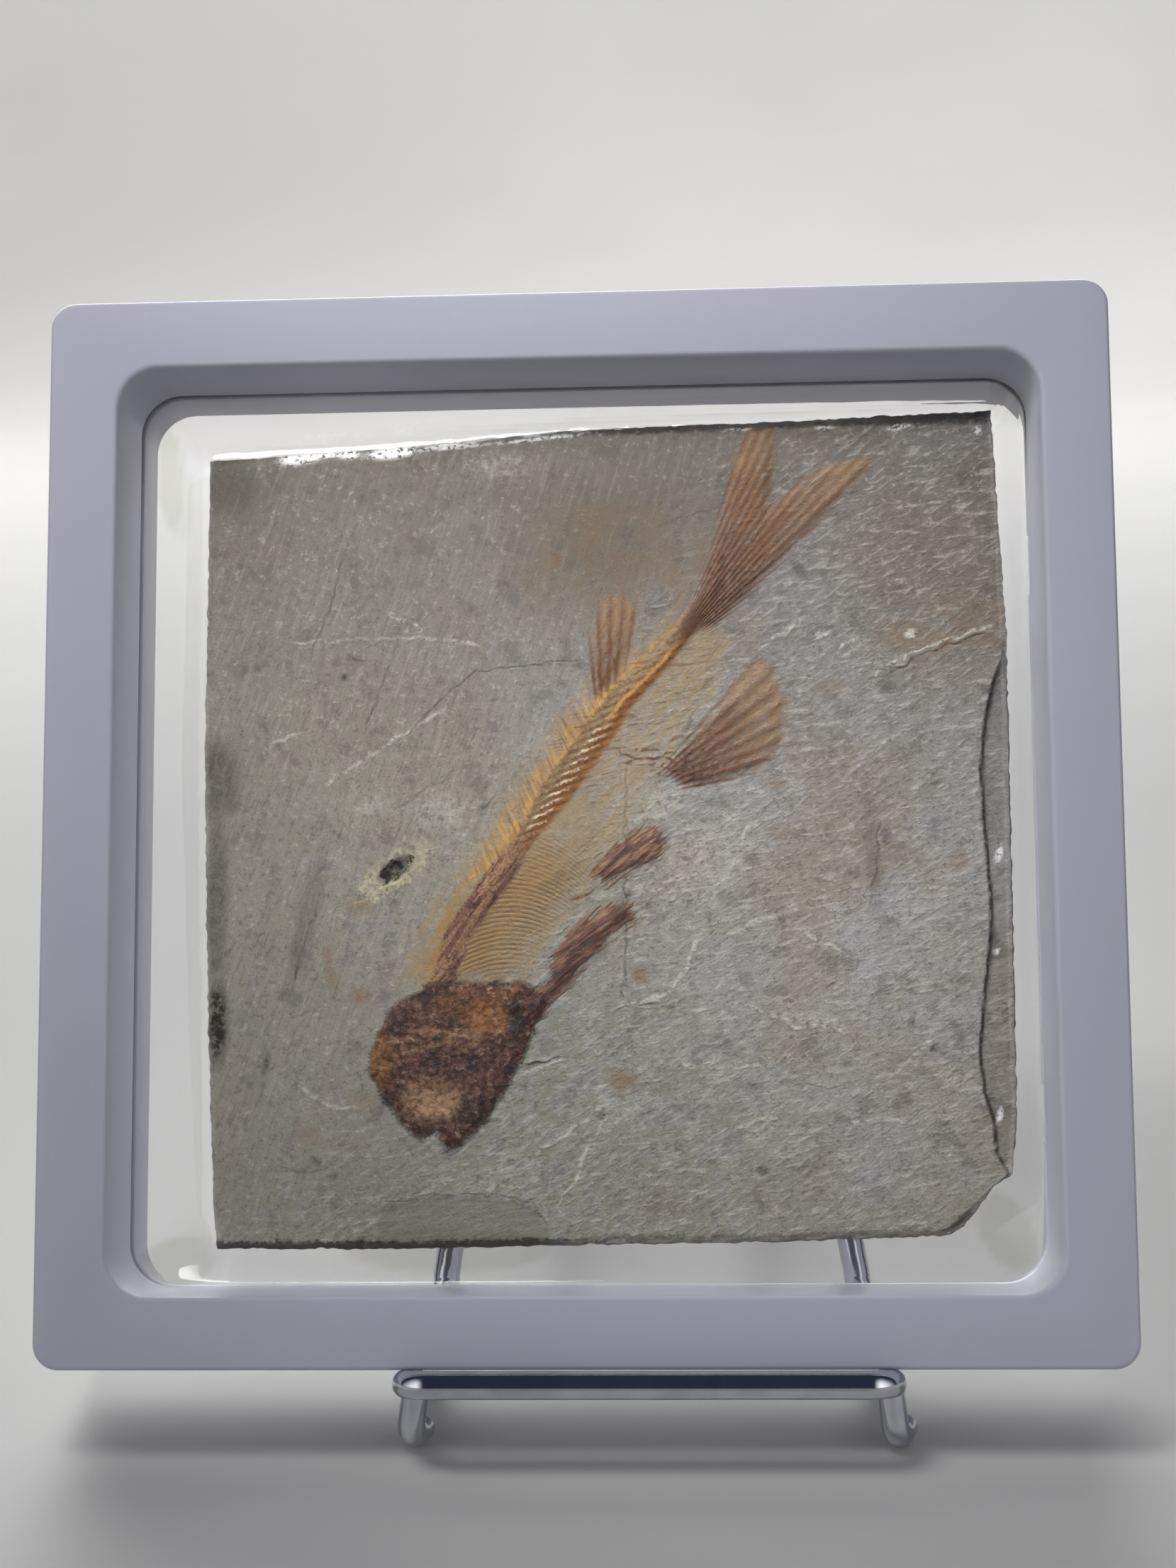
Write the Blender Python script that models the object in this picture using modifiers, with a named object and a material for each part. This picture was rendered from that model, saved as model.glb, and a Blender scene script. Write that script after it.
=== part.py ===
"""Fossil fish slab held between two clear films in a square two-part frame, on a bent-wire easel.

Metres, +Z up, front towards -Y, with the origin on the floor under the middle of the whole thing.
Everything in the frame is modelled upright, with the middle of the frame at the origin, and is leaned
back by one empty. The easel's wires follow the leaning frame where they carry it, and the floor where
they stand on it.
"""

import math

import bmesh
import bpy
import numpy as np
from mathutils import Matrix, Vector, noise

MM = 0.001

# Frame: two moulded halves that meet on the middle plane (mm)
FRAME_SIDE = 110.0
FRAME_DEPTH = 20.0
OPENING_FACE = 95.6  # side of the window at the outer faces
OPENING_SEAM = 94.4  # side of the window at the middle, after the draft of the walls
OUTER_RADIUS = 2.6
INNER_RADIUS = 4.4
EDGE_ROUND = 0.5
SEAM_GAP = 0.3
CORNER_STEPS = 6

# Clear films, each clamped by its rim in a rebate of its frame half (mm)
FILM_THICKNESS = 0.35
REBATE_WIDTH = 1.5
REBATE_DEPTH = 0.65
GAP = 0.3
FILM_FRONT, FILM_BACK = 4.2, 3.5  # from the middle plane to the inside of each film, over the stone
FILM_CORNERS = (
    ((45.0, 43.2), (43.8, 44.1)),
    ((-38.6, 41.2), (-40.3, 39.9)),
    ((-39.9, -43.2), (-38.4, -44.1)),
    ((36.8, -43.3), (45.0, -36.3)),
)

# Stone slab (mm, in the frame's own plane, x to the right and z up)
STONE_HALF = 3.0
LEFT_EDGE = [(-43.3, -37.7), (-38.0, -38.2), (-20.0, -38.9), (-8.0, -39.2), (10.0, -39.6), (39.5, -39.4)]
RIGHT_EDGE = [
    (-42.3, 36.5), (-41.4, 38.6), (-39.5, 40.1), (-37.4, 41.6), (-36.2, 43.6), (-30.0, 44.2),
    (0.0, 44.3), (20.0, 44.4), (30.0, 43.9), (43.3, 43.4),
]
BOTTOM_EDGE = [(-37.7, -43.3), (-20.0, -43.4), (0.0, -43.0), (20.0, -42.8), (36.5, -42.3)]
TOP_EDGE = [(-39.4, 39.5), (-20.0, 40.5), (0.0, 42.1), (20.0, 42.5), (43.4, 43.3)]
# Where the top layer has broken away along the right edge
LAYER_EDGE = [
    (-42.3, 36.2), (-36.2, 43.2), (-34.0, 42.0), (-31.0, 41.9), (-28.0, 41.0), (-24.0, 40.6),
    (-18.0, 41.2), (-12.0, 42.0), (-8.0, 42.1), (0.0, 41.6), (5.0, 41.4), (10.0, 41.9),
    (14.0, 42.8), (17.0, 44.0), (43.3, 43.1),
]
LAYER_DEPTH = 1.4
GRID_COLUMNS = 30
GRID_ROWS = 32

# Fish, in the same plane (mm). The spine runs from the back of the skull to the root of the tail.
SPINE = [
    (-14.4, -16.8), (-12.9, -11.6), (-9.9, -7.3), (-6.9, -3.2), (-3.4, 2.0), (0.8, 8.0),
    (4.4, 13.0), (8.6, 17.0), (11.7, 21.0), (14.6, 25.6),
]
HEAD = [
    (-15.4, -16.2), (-17.5, -17.4), (-19.8, -18.8), (-21.6, -22.4), (-22.2, -25.0), (-20.6, -28.2),
    (-18.4, -31.0), (-16.8, -32.3), (-15.1, -31.4), (-13.9, -33.7), (-10.5, -31.3), (-7.8, -27.2),
    (-5.4, -22.4), (-3.8, -18.0), (-6.0, -16.3), (-11.0, -16.2),
]
ORBIT = ((-15.2, -28.2), (2.5, 1.8))
GILL_COVER = ((-10.9, -19.8), (2.4, 2.1))
PECTORAL_FIN = [
    (-6.6, -19.4), (-3.3, -15.7), (-1.3, -11.6), (0.4, -9.9), (4.6, -8.3), (5.2, -9.8),
    (2.6, -11.4), (0.6, -14.0), (-2.6, -17.4), (-5.0, -20.6),
]
PELVIC_FIN = [
    (1.3, -4.5), (3.6, -2.5), (6.0, -0.8), (7.7, -0.7), (8.5, -2.0), (7.8, -3.4), (5.2, -4.6),
    (2.4, -5.9),
]
ANAL_FIN = [
    (9.6, 5.2), (11.4, 4.5), (16.0, 5.6), (19.5, 7.0), (20.6, 9.6), (20.4, 12.6), (19.2, 15.6),
    (17.6, 15.6), (14.4, 11.2), (11.6, 7.8),
]
DORSAL_FIN = [(2.3, 13.9), (1.8, 17.2), (2.1, 21.6), (3.0, 23.5), (5.0, 23.3), (5.4, 20.6), (4.2, 17.2)]
TAIL_FIN = [
    (11.6, 20.6), (12.6, 23.0), (14.6, 28.0), (15.8, 33.0), (17.3, 38.4), (18.6, 41.6), (20.2, 41.2),
    (19.8, 37.0), (18.4, 31.6), (21.5, 33.6), (25.0, 36.5), (29.8, 37.6), (26.4, 34.6), (21.4, 30.2),
    (17.4, 25.3), (13.6, 20.9),
]
FAN_CENTRES = {"anal": (6.6, 3.6), "tail": (10.5, 19.0), "dorsal": (2.6, 8.0)}
PIT = ((-19.5, -4.7), (2.3, 1.2), math.radians(28.0))

# Easel: round wire, bent cold (mm). x is measured from the middle of the frame, y from the frame's
# middle towards the back, and heights from the floor.
LEAN = math.radians(20.0)
WIRE = 2.8
FRAME_HEIGHT = 58.72  # from the floor to the middle of the frame
FRAME_FORWARD = 4.87  # from the middle of the whole footprint to the middle of the frame
ARM_LEFT, ARM_RIGHT = -17.4, 30.8
HEEL_LEFT, HEEL_RIGHT = -17.6, 30.2
ARM_DROP = 56.9  # arms' centre line below the middle of the frame, along its face
BAR_FRONT = 11.75  # front bar's centre line before the middle plane
BAR_DROP = 56.25
UPRIGHT_BACK = 11.9  # uprights' centre line behind the middle plane
ARCH_TOP = 10.0
ARCH_MIDDLE = 6.3
ARCH_HALF = 11.0
LEG_TOP_LEFT, LEG_TOP_RIGHT = -16.7, 30.6
FOOT_LEFT, FOOT_RIGHT = -17.7, 31.3
LEG_Y = -25.1
TOE_LENGTH = 3.2
TOE_TURN = math.radians(18.0)
REAR_FOOT_Y = 40.0
REAR_FOOT_HALF = 13.0
REAR_TOP_HALF = 5.5
BEND_BAR, BEND_HEEL, BEND_ARCH, BEND_TOE, BEND_REAR = 2.6, 2.8, 4.5, 2.2, 5.0
BEND_STEPS = 4


def clear_scene():
    for item in list(bpy.data.objects):
        bpy.data.objects.remove(item, do_unlink=True)


def material(name, colour, roughness, metallic=0.0, transmission=0.0):
    made = bpy.data.materials.new(name)
    made.use_nodes = True
    shader = made.node_tree.nodes["Principled BSDF"]
    shader.inputs["Base Color"].default_value = (*colour, 1.0)
    shader.inputs["Roughness"].default_value = roughness
    shader.inputs["Metallic"].default_value = metallic
    shader.inputs["Transmission Weight"].default_value = transmission
    return made


def add_object(name, mesh, made, parent=None):
    item = bpy.data.objects.new(name, mesh)
    mesh.materials.append(made)
    bpy.data.collections["Fossil fish slab"].objects.link(item)
    item.parent = parent
    return item


def rounded_square(half, radius, depth):
    """Points round a square with arcs at its corners, in the plane at this depth."""
    points = []
    for corner in range(4):
        turn = math.radians(90.0 * corner)
        for step in range(CORNER_STEPS + 1):
            angle = turn + math.radians(90.0) * step / CORNER_STEPS
            x = math.copysign(half - radius, math.cos(turn + math.pi / 4)) + radius * math.cos(angle)
            z = math.copysign(half - radius, math.sin(turn + math.pi / 4)) + radius * math.sin(angle)
            points.append((x, depth, z))
    return points


def bridge(bm, first, second):
    """Quads between two closed loops of as many vertices."""
    count = len(first)
    for i in range(count):
        j = (i + 1) % count
        bm.faces.new((first[i], first[j], second[j], second[i]))


def loop_of(bm, points):
    return [bm.verts.new((x * MM, y * MM, z * MM)) for x, y, z in points]


def finish_mesh(bm, name, smooth_angle=None):
    bmesh.ops.recalc_face_normals(bm, faces=bm.faces)
    mesh = bpy.data.meshes.new(name)
    bm.to_mesh(mesh)
    bm.free()
    if smooth_angle is not None:
        mesh.shade_smooth()
        mesh.set_sharp_from_angle(angle=smooth_angle)
    return mesh


# ---- frame ----------------------------------------------------------------------------------------


def frame_half(name, side, made, parent):
    """One half of the frame: a ring whose section runs over its face, wall, rebate and seam."""
    outer = FRAME_SIDE / 2
    face = FRAME_DEPTH / 2
    window, waist = OPENING_FACE / 2, OPENING_SEAM / 2
    step = SEAM_GAP / 2 + REBATE_DEPTH
    soft = EDGE_ROUND * (1 - math.cos(math.radians(45)))
    section = [
        (outer, OUTER_RADIUS, SEAM_GAP / 2),
        (outer, OUTER_RADIUS, face - EDGE_ROUND),
        (outer - soft, OUTER_RADIUS, face - soft),
        (outer - EDGE_ROUND, OUTER_RADIUS, face),
        (window + EDGE_ROUND, INNER_RADIUS, face),
        (window + soft, INNER_RADIUS, face - soft),
        (window, INNER_RADIUS, face - EDGE_ROUND),
        (waist, INNER_RADIUS - 0.6, step),
        (waist + REBATE_WIDTH, INNER_RADIUS - 0.6, step),
        (waist + REBATE_WIDTH, INNER_RADIUS - 0.6, SEAM_GAP / 2),
    ]
    bm = bmesh.new()
    loops = [loop_of(bm, rounded_square(half, radius, side * depth)) for half, radius, depth in section]
    for i, loop in enumerate(loops):
        bridge(bm, loop, loops[(i + 1) % len(loops)])
    return add_object(name, finish_mesh(bm, name, math.radians(30)), made, parent)


# ---- films ----------------------------------------------------------------------------------------


def tent_loop(depth):
    """The film's edge over the stone, with as many points as a loop of the frame."""
    points = []
    for start, end in FILM_CORNERS:
        for step in range(CORNER_STEPS + 1):
            place = Vector(start).lerp(Vector(end), step / CORNER_STEPS)
            points.append((place.x, depth, place.y))
    return points


def film(name, side, over, made, parent):
    """A clear sheet from its clamped rim, up the gap round the stone, and flat over the stone."""
    waist = OPENING_SEAM / 2
    rim = side * SEAM_GAP / 2
    bm = bmesh.new()
    clamped = loop_of(bm, rounded_square(waist + REBATE_WIDTH - GAP, INNER_RADIUS - 0.6, rim))
    leaving = loop_of(bm, rounded_square(waist - GAP, INNER_RADIUS - 0.9, rim))
    tented = loop_of(bm, tent_loop(side * over))
    bridge(bm, clamped, leaving)
    bridge(bm, leaving, tented)
    flat = bm.faces.new(tented)
    bmesh.ops.recalc_face_normals(bm, faces=bm.faces)
    if flat.normal.y * side < 0:
        bmesh.ops.reverse_faces(bm, faces=bm.faces)
    mesh = bpy.data.meshes.new(name)
    bm.to_mesh(mesh)
    bm.free()
    item = add_object(name, mesh, made, parent)
    wall = item.modifiers.new("Film thickness", "SOLIDIFY")
    wall.thickness = FILM_THICKNESS * MM
    wall.offset = 1.0
    return item


# ---- stone and fish -------------------------------------------------------------------------------


def along_edge(edge, at):
    """Value of a broken line, given as (place, value) pairs, at a place."""
    return float(np.interp(at, [place for place, _ in edge], [value for _, value in edge]))


def inside_by(points, outline):
    """Signed distance of each point to a closed outline, positive inside."""
    corners = np.array(outline)
    inside = np.zeros(len(points), dtype=bool)
    nearest = np.full(len(points), 1e9)
    for a, b in zip(corners, np.roll(corners, -1, axis=0)):
        edge = b - a
        share = np.clip(((points - a) @ edge) / (edge @ edge), 0.0, 1.0)
        nearest = np.minimum(nearest, np.linalg.norm(points - a - share[:, None] * edge, axis=1))
        crosses = (a[1] > points[:, 1]) != (b[1] > points[:, 1])
        slope = (b[0] - a[0]) / (b[1] - a[1]) if b[1] != a[1] else 0.0
        inside ^= crosses & (points[:, 0] < a[0] + slope * (points[:, 1] - a[1]))
    return np.where(inside, nearest, -nearest)


def from_line(points, line):
    """Distance of each point to an open broken line, and its place along the line, 0 to 1."""
    corners = np.array(line)
    lengths = np.linalg.norm(np.diff(corners, axis=0), axis=1)
    nearest = np.full(len(points), 1e9)
    place = np.zeros(len(points))
    run = 0.0
    for a, b, length in zip(corners, corners[1:], lengths):
        edge = b - a
        share = np.clip(((points - a) @ edge) / (edge @ edge), 0.0, 1.0)
        distance = np.linalg.norm(points - a - share[:, None] * edge, axis=1)
        closer = distance < nearest
        nearest = np.where(closer, distance, nearest)
        place = np.where(closer, (run + share * length) / lengths.sum(), place)
        run += length
    return nearest, place


def ramp(value, low, high):
    """Smooth step from 0 at low to 1 at high."""
    share = np.clip((value - low) / (high - low), 0.0, 1.0)
    return share * share * (3.0 - 2.0 * share)


def oval(points, centre, radii, turn=0.0):
    """1 at the middle of an oval, 0 at its rim, negative outside."""
    shift = points - np.array(centre)
    u = shift[:, 0] * math.cos(turn) + shift[:, 1] * math.sin(turn)
    v = -shift[:, 0] * math.sin(turn) + shift[:, 1] * math.cos(turn)
    return 1.0 - np.hypot(u / radii[0], v / radii[1])


def rays(points, centre, count_per_radian):
    """Ridges that fan out from a centre."""
    shift = points - np.array(centre)
    return 0.5 + 0.5 * np.cos(np.arctan2(shift[:, 1], shift[:, 0]) * count_per_radian)


def fin(points, outline, height):
    """A fin's height inside its outline, falling to nothing at the edge."""
    return ramp(inside_by(points, outline), -0.2, 0.7) * height


def grain(points, size, seed):
    """Smooth unevenness of the split stone, about -1 to 1."""
    return np.array([noise.noise(Vector((x / size, z / size, seed))) for x, z in points])


def fish_relief(points):
    """How far the fish stands out of the stone (mm)."""
    distance, place = from_line(points, SPINE)
    body = 0.28 * (1.0 - ramp(distance, 1.0, 7.0)) * (1.0 - 0.7 * place)
    spine = 0.42 * (1.0 - ramp(distance, 0.35, 1.7 - 0.7 * place))
    ribs = 0.10 * (1.0 - ramp(distance, 4.0, 9.0)) * np.cos(place * 60.0) * ramp(distance, 1.0, 2.0)
    lumps = 0.16 * grain(points, 1.6, 4.0)
    skull = ramp(inside_by(points, HEAD), -0.2, 1.3) * (0.50 + lumps)
    eye = 0.48 * ramp(oval(points, *ORBIT), -0.1, 0.6)
    cheek = 0.14 * ramp(oval(points, *GILL_COVER), 0.0, 0.5)
    pectoral = fin(points, PECTORAL_FIN, 0.42)
    pelvic = fin(points, PELVIC_FIN, 0.30)
    anal = fin(points, ANAL_FIN, 0.12 + 0.22 * rays(points, FAN_CENTRES["anal"], 42.0))
    dorsal = fin(points, DORSAL_FIN, 0.14 + 0.12 * rays(points, FAN_CENTRES["dorsal"], 60.0))
    tail = fin(points, TAIL_FIN, 0.20 + 0.14 * rays(points, FAN_CENTRES["tail"], 50.0))
    bones = np.maximum.reduce([spine, skull - eye - cheek, pectoral, pelvic, anal, dorsal, tail])
    return np.maximum(body + ribs, 0.0) * (1.0 - ramp(bones, 0.0, 0.3)) + bones


def stone_relief(points):
    """Height of the stone's front over its mean plane (mm)."""
    height = 0.20 * grain(points, 15.0, 1.0) + 0.09 * grain(points, 4.5, 2.0)
    pit = oval(points, *PIT)
    height += 0.20 * ramp(pit, -0.9, -0.3) * (1.0 - ramp(pit, -0.3, 0.1)) - 0.9 * ramp(pit, -0.2, 0.8)
    top = np.array([along_edge(TOP_EDGE, x) for x in points[:, 0]]) - points[:, 1]
    height -= 0.55 * (1.0 - ramp(top, 0.0, 1.3))
    layer = np.array([along_edge(LAYER_EDGE, z) for z in points[:, 1]])
    right = np.array([along_edge(RIGHT_EDGE, z) for z in points[:, 1]])
    height -= LAYER_DEPTH * ramp(points[:, 0] - layer, 0.02, 0.18) * ramp(right - layer, 0.5, 1.1)
    return height + fish_relief(points)


def fine_area(points, margin):
    """True where the relief changes fast enough to need small faces."""
    shapes = (HEAD, PECTORAL_FIN, PELVIC_FIN, ANAL_FIN, DORSAL_FIN, TAIL_FIN)
    near = from_line(points, SPINE)[0] < 1.4 + margin
    near |= oval(points, *PIT) > -1.0
    for outline in shapes:
        near |= inside_by(points, outline) > -margin
    return near


def places(items):
    return np.array([(v.x / MM, v.z / MM) for v in items])


def stone_sheet(bm):
    """The stone's front as a flat grid inside its outline, finer where the fish lies."""
    columns = GRID_COLUMNS + 2
    bmesh.ops.create_grid(bm, x_segments=columns, y_segments=GRID_ROWS, size=1.0)
    bottom, top = RIGHT_EDGE[0][0], RIGHT_EDGE[-1][0]
    for vert in bm.verts:
        column = round((vert.co.x + 1.0) / 2.0 * columns)
        share = (vert.co.y + 1.0) / 2.0
        level = bottom + share * (top - bottom)
        left, right = along_edge(LEFT_EDGE, level), along_edge(RIGHT_EDGE, level)
        layer = min(along_edge(LAYER_EDGE, level), right - 0.45)
        x = left + (layer - left) * column / GRID_COLUMNS
        if column > GRID_COLUMNS:
            x = layer + 0.2 if column == GRID_COLUMNS + 1 else right
        low, high = along_edge(BOTTOM_EDGE, x), along_edge(TOP_EDGE, x)
        vert.co = (x * MM, 0.0, (low + (high - low) * share) * MM)
    for margin in (1.2, 0.1):
        middles = places([face.calc_center_median() for face in bm.faces])
        chosen = [face for face, near in zip(bm.faces, fine_area(middles, margin)) if near]
        edges = list({edge for face in chosen for edge in face.edges})
        bmesh.ops.subdivide_edges(bm, edges=edges, cuts=1, use_grid_fill=True)
    bmesh.ops.triangulate(bm, faces=bm.faces, quad_method="BEAUTY", ngon_method="BEAUTY")


def stone_slab(made, parent):
    bm = bmesh.new()
    stone_sheet(bm)
    flat = places([vert.co for vert in bm.verts])
    for vert, rise in zip(bm.verts, stone_relief(flat)):
        vert.co.y = -(STONE_HALF + rise) * MM
    rim = [edge for edge in bm.edges if edge.is_boundary]
    for depth, outset in ((0.0, 0.25), (STONE_HALF, -0.35)):
        made_edges = bmesh.ops.extrude_edge_only(bm, edges=rim)["geom"]
        rim = [item for item in made_edges if isinstance(item, bmesh.types.BMEdge)]
        for vert in {vert for edge in rim for vert in edge.verts}:
            outward = Vector((vert.co.x, 0.0, vert.co.z)).normalized()
            uneven = noise.noise(vert.co / (6.0 * MM) + Vector((0.0, depth, 0.0)))
            vert.co += outward * (outset + 0.2 * uneven) * MM
            vert.co.y = depth * MM
    bmesh.ops.edgeloop_fill(bm, edges=rim)
    return add_object("slab", finish_mesh(bm, "slab", math.radians(50)), made, parent)


# ---- easel ----------------------------------------------------------------------------------------


def on_frame(x, y, z):
    """A point given in the leaning frame's own axes (mm), as a point of the upright world (mm)."""
    lean = Matrix.Rotation(-LEAN, 3, "X")
    return lean @ Vector((x, y, z)) + Vector((0.0, -FRAME_FORWARD, FRAME_HEIGHT))


def on_floor(x, y, z=WIRE / 2):
    """A point given by its distance behind the frame's middle and its height over the floor (mm)."""
    return Vector((x, y - FRAME_FORWARD, z))


def bent_route(corners, radii, closed=False):
    """Points along a wire that runs straight between corners and is bent round each by its radius."""
    count = len(corners)
    points = []
    for i, corner in enumerate(corners):
        if not closed and i in (0, count - 1):
            points.append(corner)
            continue
        back = (corners[i - 1] - corner).normalized()
        ahead = (corners[(i + 1) % count] - corner).normalized()
        half = back.angle(ahead) / 2
        centre = corner + (back + ahead).normalized() * radii[i] / math.sin(half)
        start = (corner + back * radii[i] / math.tan(half) - centre).normalized()
        end = (corner + ahead * radii[i] / math.tan(half) - centre).normalized()
        turns = [start.slerp(end, step / BEND_STEPS) for step in range(BEND_STEPS + 1)]
        points += [centre + turn * radii[i] for turn in turns]
    return points


def wire(name, points, made, closed=False):
    curve = bpy.data.curves.new(name, "CURVE")
    curve.dimensions = "3D"
    curve.bevel_depth = WIRE / 2 * MM
    curve.bevel_resolution = 2
    curve.use_fill_caps = not closed
    spline = curve.splines.new("POLY")
    spline.points.add(len(points) - 1)
    for point, place in zip(spline.points, points):
        point.co = (*(place * MM), 1.0)
    spline.use_cyclic_u = closed
    spline.use_smooth = True
    return add_object(name, curve, made)


def cradle(made):
    """One closed wire: the front bar, the arms under the frame, the uprights behind it and the arch."""
    corners = [
        on_frame(ARM_LEFT, -BAR_FRONT, -BAR_DROP),
        on_frame(HEEL_LEFT, UPRIGHT_BACK, -ARM_DROP),
        on_frame(ARCH_MIDDLE - ARCH_HALF, UPRIGHT_BACK, ARCH_TOP),
        on_frame(ARCH_MIDDLE + ARCH_HALF, UPRIGHT_BACK, ARCH_TOP),
        on_frame(HEEL_RIGHT, UPRIGHT_BACK, -ARM_DROP),
        on_frame(ARM_RIGHT, -BAR_FRONT, -BAR_DROP),
    ]
    radii = [BEND_BAR, BEND_HEEL, BEND_ARCH, BEND_ARCH, BEND_HEEL, BEND_BAR]
    return wire("easel_cradle", bent_route(corners, radii, closed=True), made, closed=True)


def front_leg(name, top, foot, arm, made):
    """A short leg from just under an arm, with its end turned back as a toe on the floor."""
    toe = on_floor(foot + TOE_LENGTH * math.sin(TOE_TURN), LEG_Y + TOE_LENGTH * math.cos(TOE_TURN))
    route = [on_floor(top, LEG_Y, 9.0), on_floor(foot, LEG_Y), toe]
    leg = wire(name, bent_route(route, [0.0, BEND_TOE, 0.0]), made)
    mesh = bpy.data.meshes.new_from_object(leg.evaluated_get(bpy.context.evaluated_depsgraph_get()))
    bpy.data.objects.remove(leg, do_unlink=True)
    bm = bmesh.new()
    bm.from_mesh(mesh)
    bmesh.ops.remove_doubles(bm, verts=bm.verts, dist=0.01 * MM)
    upward = Matrix.Rotation(-LEAN, 3, "X") @ Vector((0.0, 0.0, 1.0))
    under = on_frame(arm, 0.0, -ARM_DROP - WIRE / 2 - GAP)
    geometry = bm.verts[:] + bm.edges[:] + bm.faces[:]
    bmesh.ops.bisect_plane(bm, geom=geometry, plane_co=under * MM, plane_no=upward, clear_outer=True)
    bmesh.ops.holes_fill(bm, edges=[edge for edge in bm.edges if edge.is_boundary])
    bm.to_mesh(mesh)
    bm.free()
    mesh.materials.clear()
    mesh.name = name
    return add_object(name, mesh, made)


def rear_leg(made):
    """A U of wire from the back of the arch down to a straight foot on the floor."""
    arch = on_frame(ARCH_MIDDLE, UPRIGHT_BACK, ARCH_TOP)
    foot = on_floor(ARCH_MIDDLE, REAR_FOOT_Y)
    clear = (foot - arch).normalized() * (WIRE / 2 + GAP)
    route = [
        arch + clear - Vector((REAR_TOP_HALF, 0.0, 0.0)),
        foot - Vector((REAR_FOOT_HALF, 0.0, 0.0)),
        foot + Vector((REAR_FOOT_HALF, 0.0, 0.0)),
        arch + clear + Vector((REAR_TOP_HALF, 0.0, 0.0)),
    ]
    return wire("easel_rear_leg", bent_route(route, [0.0, BEND_REAR, BEND_REAR, 0.0]), made)


def main():
    clear_scene()
    bpy.context.scene.collection.children.link(bpy.data.collections.new("Fossil fish slab"))
    lean = bpy.data.objects.new("frame_lean", None)
    bpy.data.collections["Fossil fish slab"].objects.link(lean)
    lean.location = Vector((0.0, -FRAME_FORWARD, FRAME_HEIGHT)) * MM
    lean.rotation_euler.x = -LEAN

    stone = material("Shaly limestone", (0.30, 0.28, 0.24), 0.8)
    clear = material("Clear film", (0.95, 0.95, 0.95), 0.05, transmission=1.0)
    plastic = material("Lilac grey plastic", (0.36, 0.36, 0.45), 0.45)
    chrome = material("Chromed wire", (0.75, 0.76, 0.78), 0.08, metallic=1.0)

    stone_slab(stone, lean)
    film("front_film", -1, FILM_FRONT, clear, lean)
    film("back_film", 1, FILM_BACK, clear, lean)
    frame_half("frame_front", -1, plastic, lean)
    frame_half("frame_back", 1, plastic, lean)
    cradle(chrome)
    front_leg("easel_leg_left", LEG_TOP_LEFT, FOOT_LEFT, ARM_LEFT, chrome)
    front_leg("easel_leg_right", LEG_TOP_RIGHT, FOOT_RIGHT, ARM_RIGHT, chrome)
    rear_leg(chrome)


main()
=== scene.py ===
import math

import bpy
import numpy as np
from mathutils import Matrix, Vector, noise


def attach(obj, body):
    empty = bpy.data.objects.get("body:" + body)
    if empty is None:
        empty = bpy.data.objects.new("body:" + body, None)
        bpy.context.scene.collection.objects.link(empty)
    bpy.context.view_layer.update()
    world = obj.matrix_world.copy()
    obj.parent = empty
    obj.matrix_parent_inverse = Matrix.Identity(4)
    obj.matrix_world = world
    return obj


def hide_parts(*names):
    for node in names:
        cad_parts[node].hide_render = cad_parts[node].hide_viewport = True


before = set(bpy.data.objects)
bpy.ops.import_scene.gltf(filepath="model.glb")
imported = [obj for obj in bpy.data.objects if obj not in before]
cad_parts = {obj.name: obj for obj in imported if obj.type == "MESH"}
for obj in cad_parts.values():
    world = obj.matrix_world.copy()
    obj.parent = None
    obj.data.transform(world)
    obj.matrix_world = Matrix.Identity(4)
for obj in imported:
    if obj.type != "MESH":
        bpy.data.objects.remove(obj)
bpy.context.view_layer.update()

mm = 0.001
leanAngle = math.radians(20.0)
frameMiddle = Vector((0.0, -4.87, 58.72)) * mm
farOff = 1e9


# small tools that every piece uses

def editMesh():
    bpy.ops.object.mode_set(mode="EDIT")


def leaveMesh():
    bpy.ops.object.mode_set(mode="OBJECT")


def pickAll(action="SELECT"):
    # in edit mode
    bpy.ops.mesh.select_all(action=action)


def pickEdges(piece, test):
    # in edit mode: the edges whose two ends pass the test
    pickAll("DESELECT")
    leaveMesh()
    for edge in piece.data.edges:
        edge.select = all(test(piece.data.vertices[i].co) for i in edge.vertices)
    editMesh()


def pickLoops(wire):
    # in edit mode: loose loops of wire, or else the open rims of a surface
    bpy.ops.mesh.select_non_manifold(
        extend=False, use_wire=wire, use_boundary=not wire, use_multi_face=False,
        use_non_contiguous=False, use_verts=False,
    )


def faceOutward():
    # in edit mode
    pickAll()
    bpy.ops.mesh.normals_make_consistent(inside=False)


def deselectAll():
    if bpy.context.object and bpy.context.object.mode != "OBJECT":
        leaveMesh()
    bpy.ops.object.select_all(action="DESELECT")


def pickOnly(piece):
    deselectAll()
    piece.select_set(True)
    bpy.context.view_layer.objects.active = piece


def addGrid(columns, rows):
    deselectAll()
    bpy.ops.mesh.primitive_grid_add(x_subdivisions=columns, y_subdivisions=rows, size=2.0)
    return bpy.context.object


def applyModifier(piece, name, kind, **settings):
    made = piece.modifiers.new(name, kind)
    for key, value in settings.items():
        setattr(made, key, value)
    bpy.ops.object.modifier_apply(modifier=name)


def roundEdges(piece, name, width, angle, clamp=True):
    settings = {"width": width * mm, "segments": 4, "limit_method": "ANGLE"}
    settings.update(angle_limit=math.radians(angle), use_clamp_overlap=clamp)
    applyModifier(piece, name, "BEVEL", **settings)


def smooth(angle):
    bpy.ops.object.shade_smooth_by_angle(angle=math.radians(angle))


def readPoints(mesh):
    flat = np.empty(len(mesh.vertices) * 3)
    mesh.vertices.foreach_get("co", flat)
    return flat.reshape(-1, 3)


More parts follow.
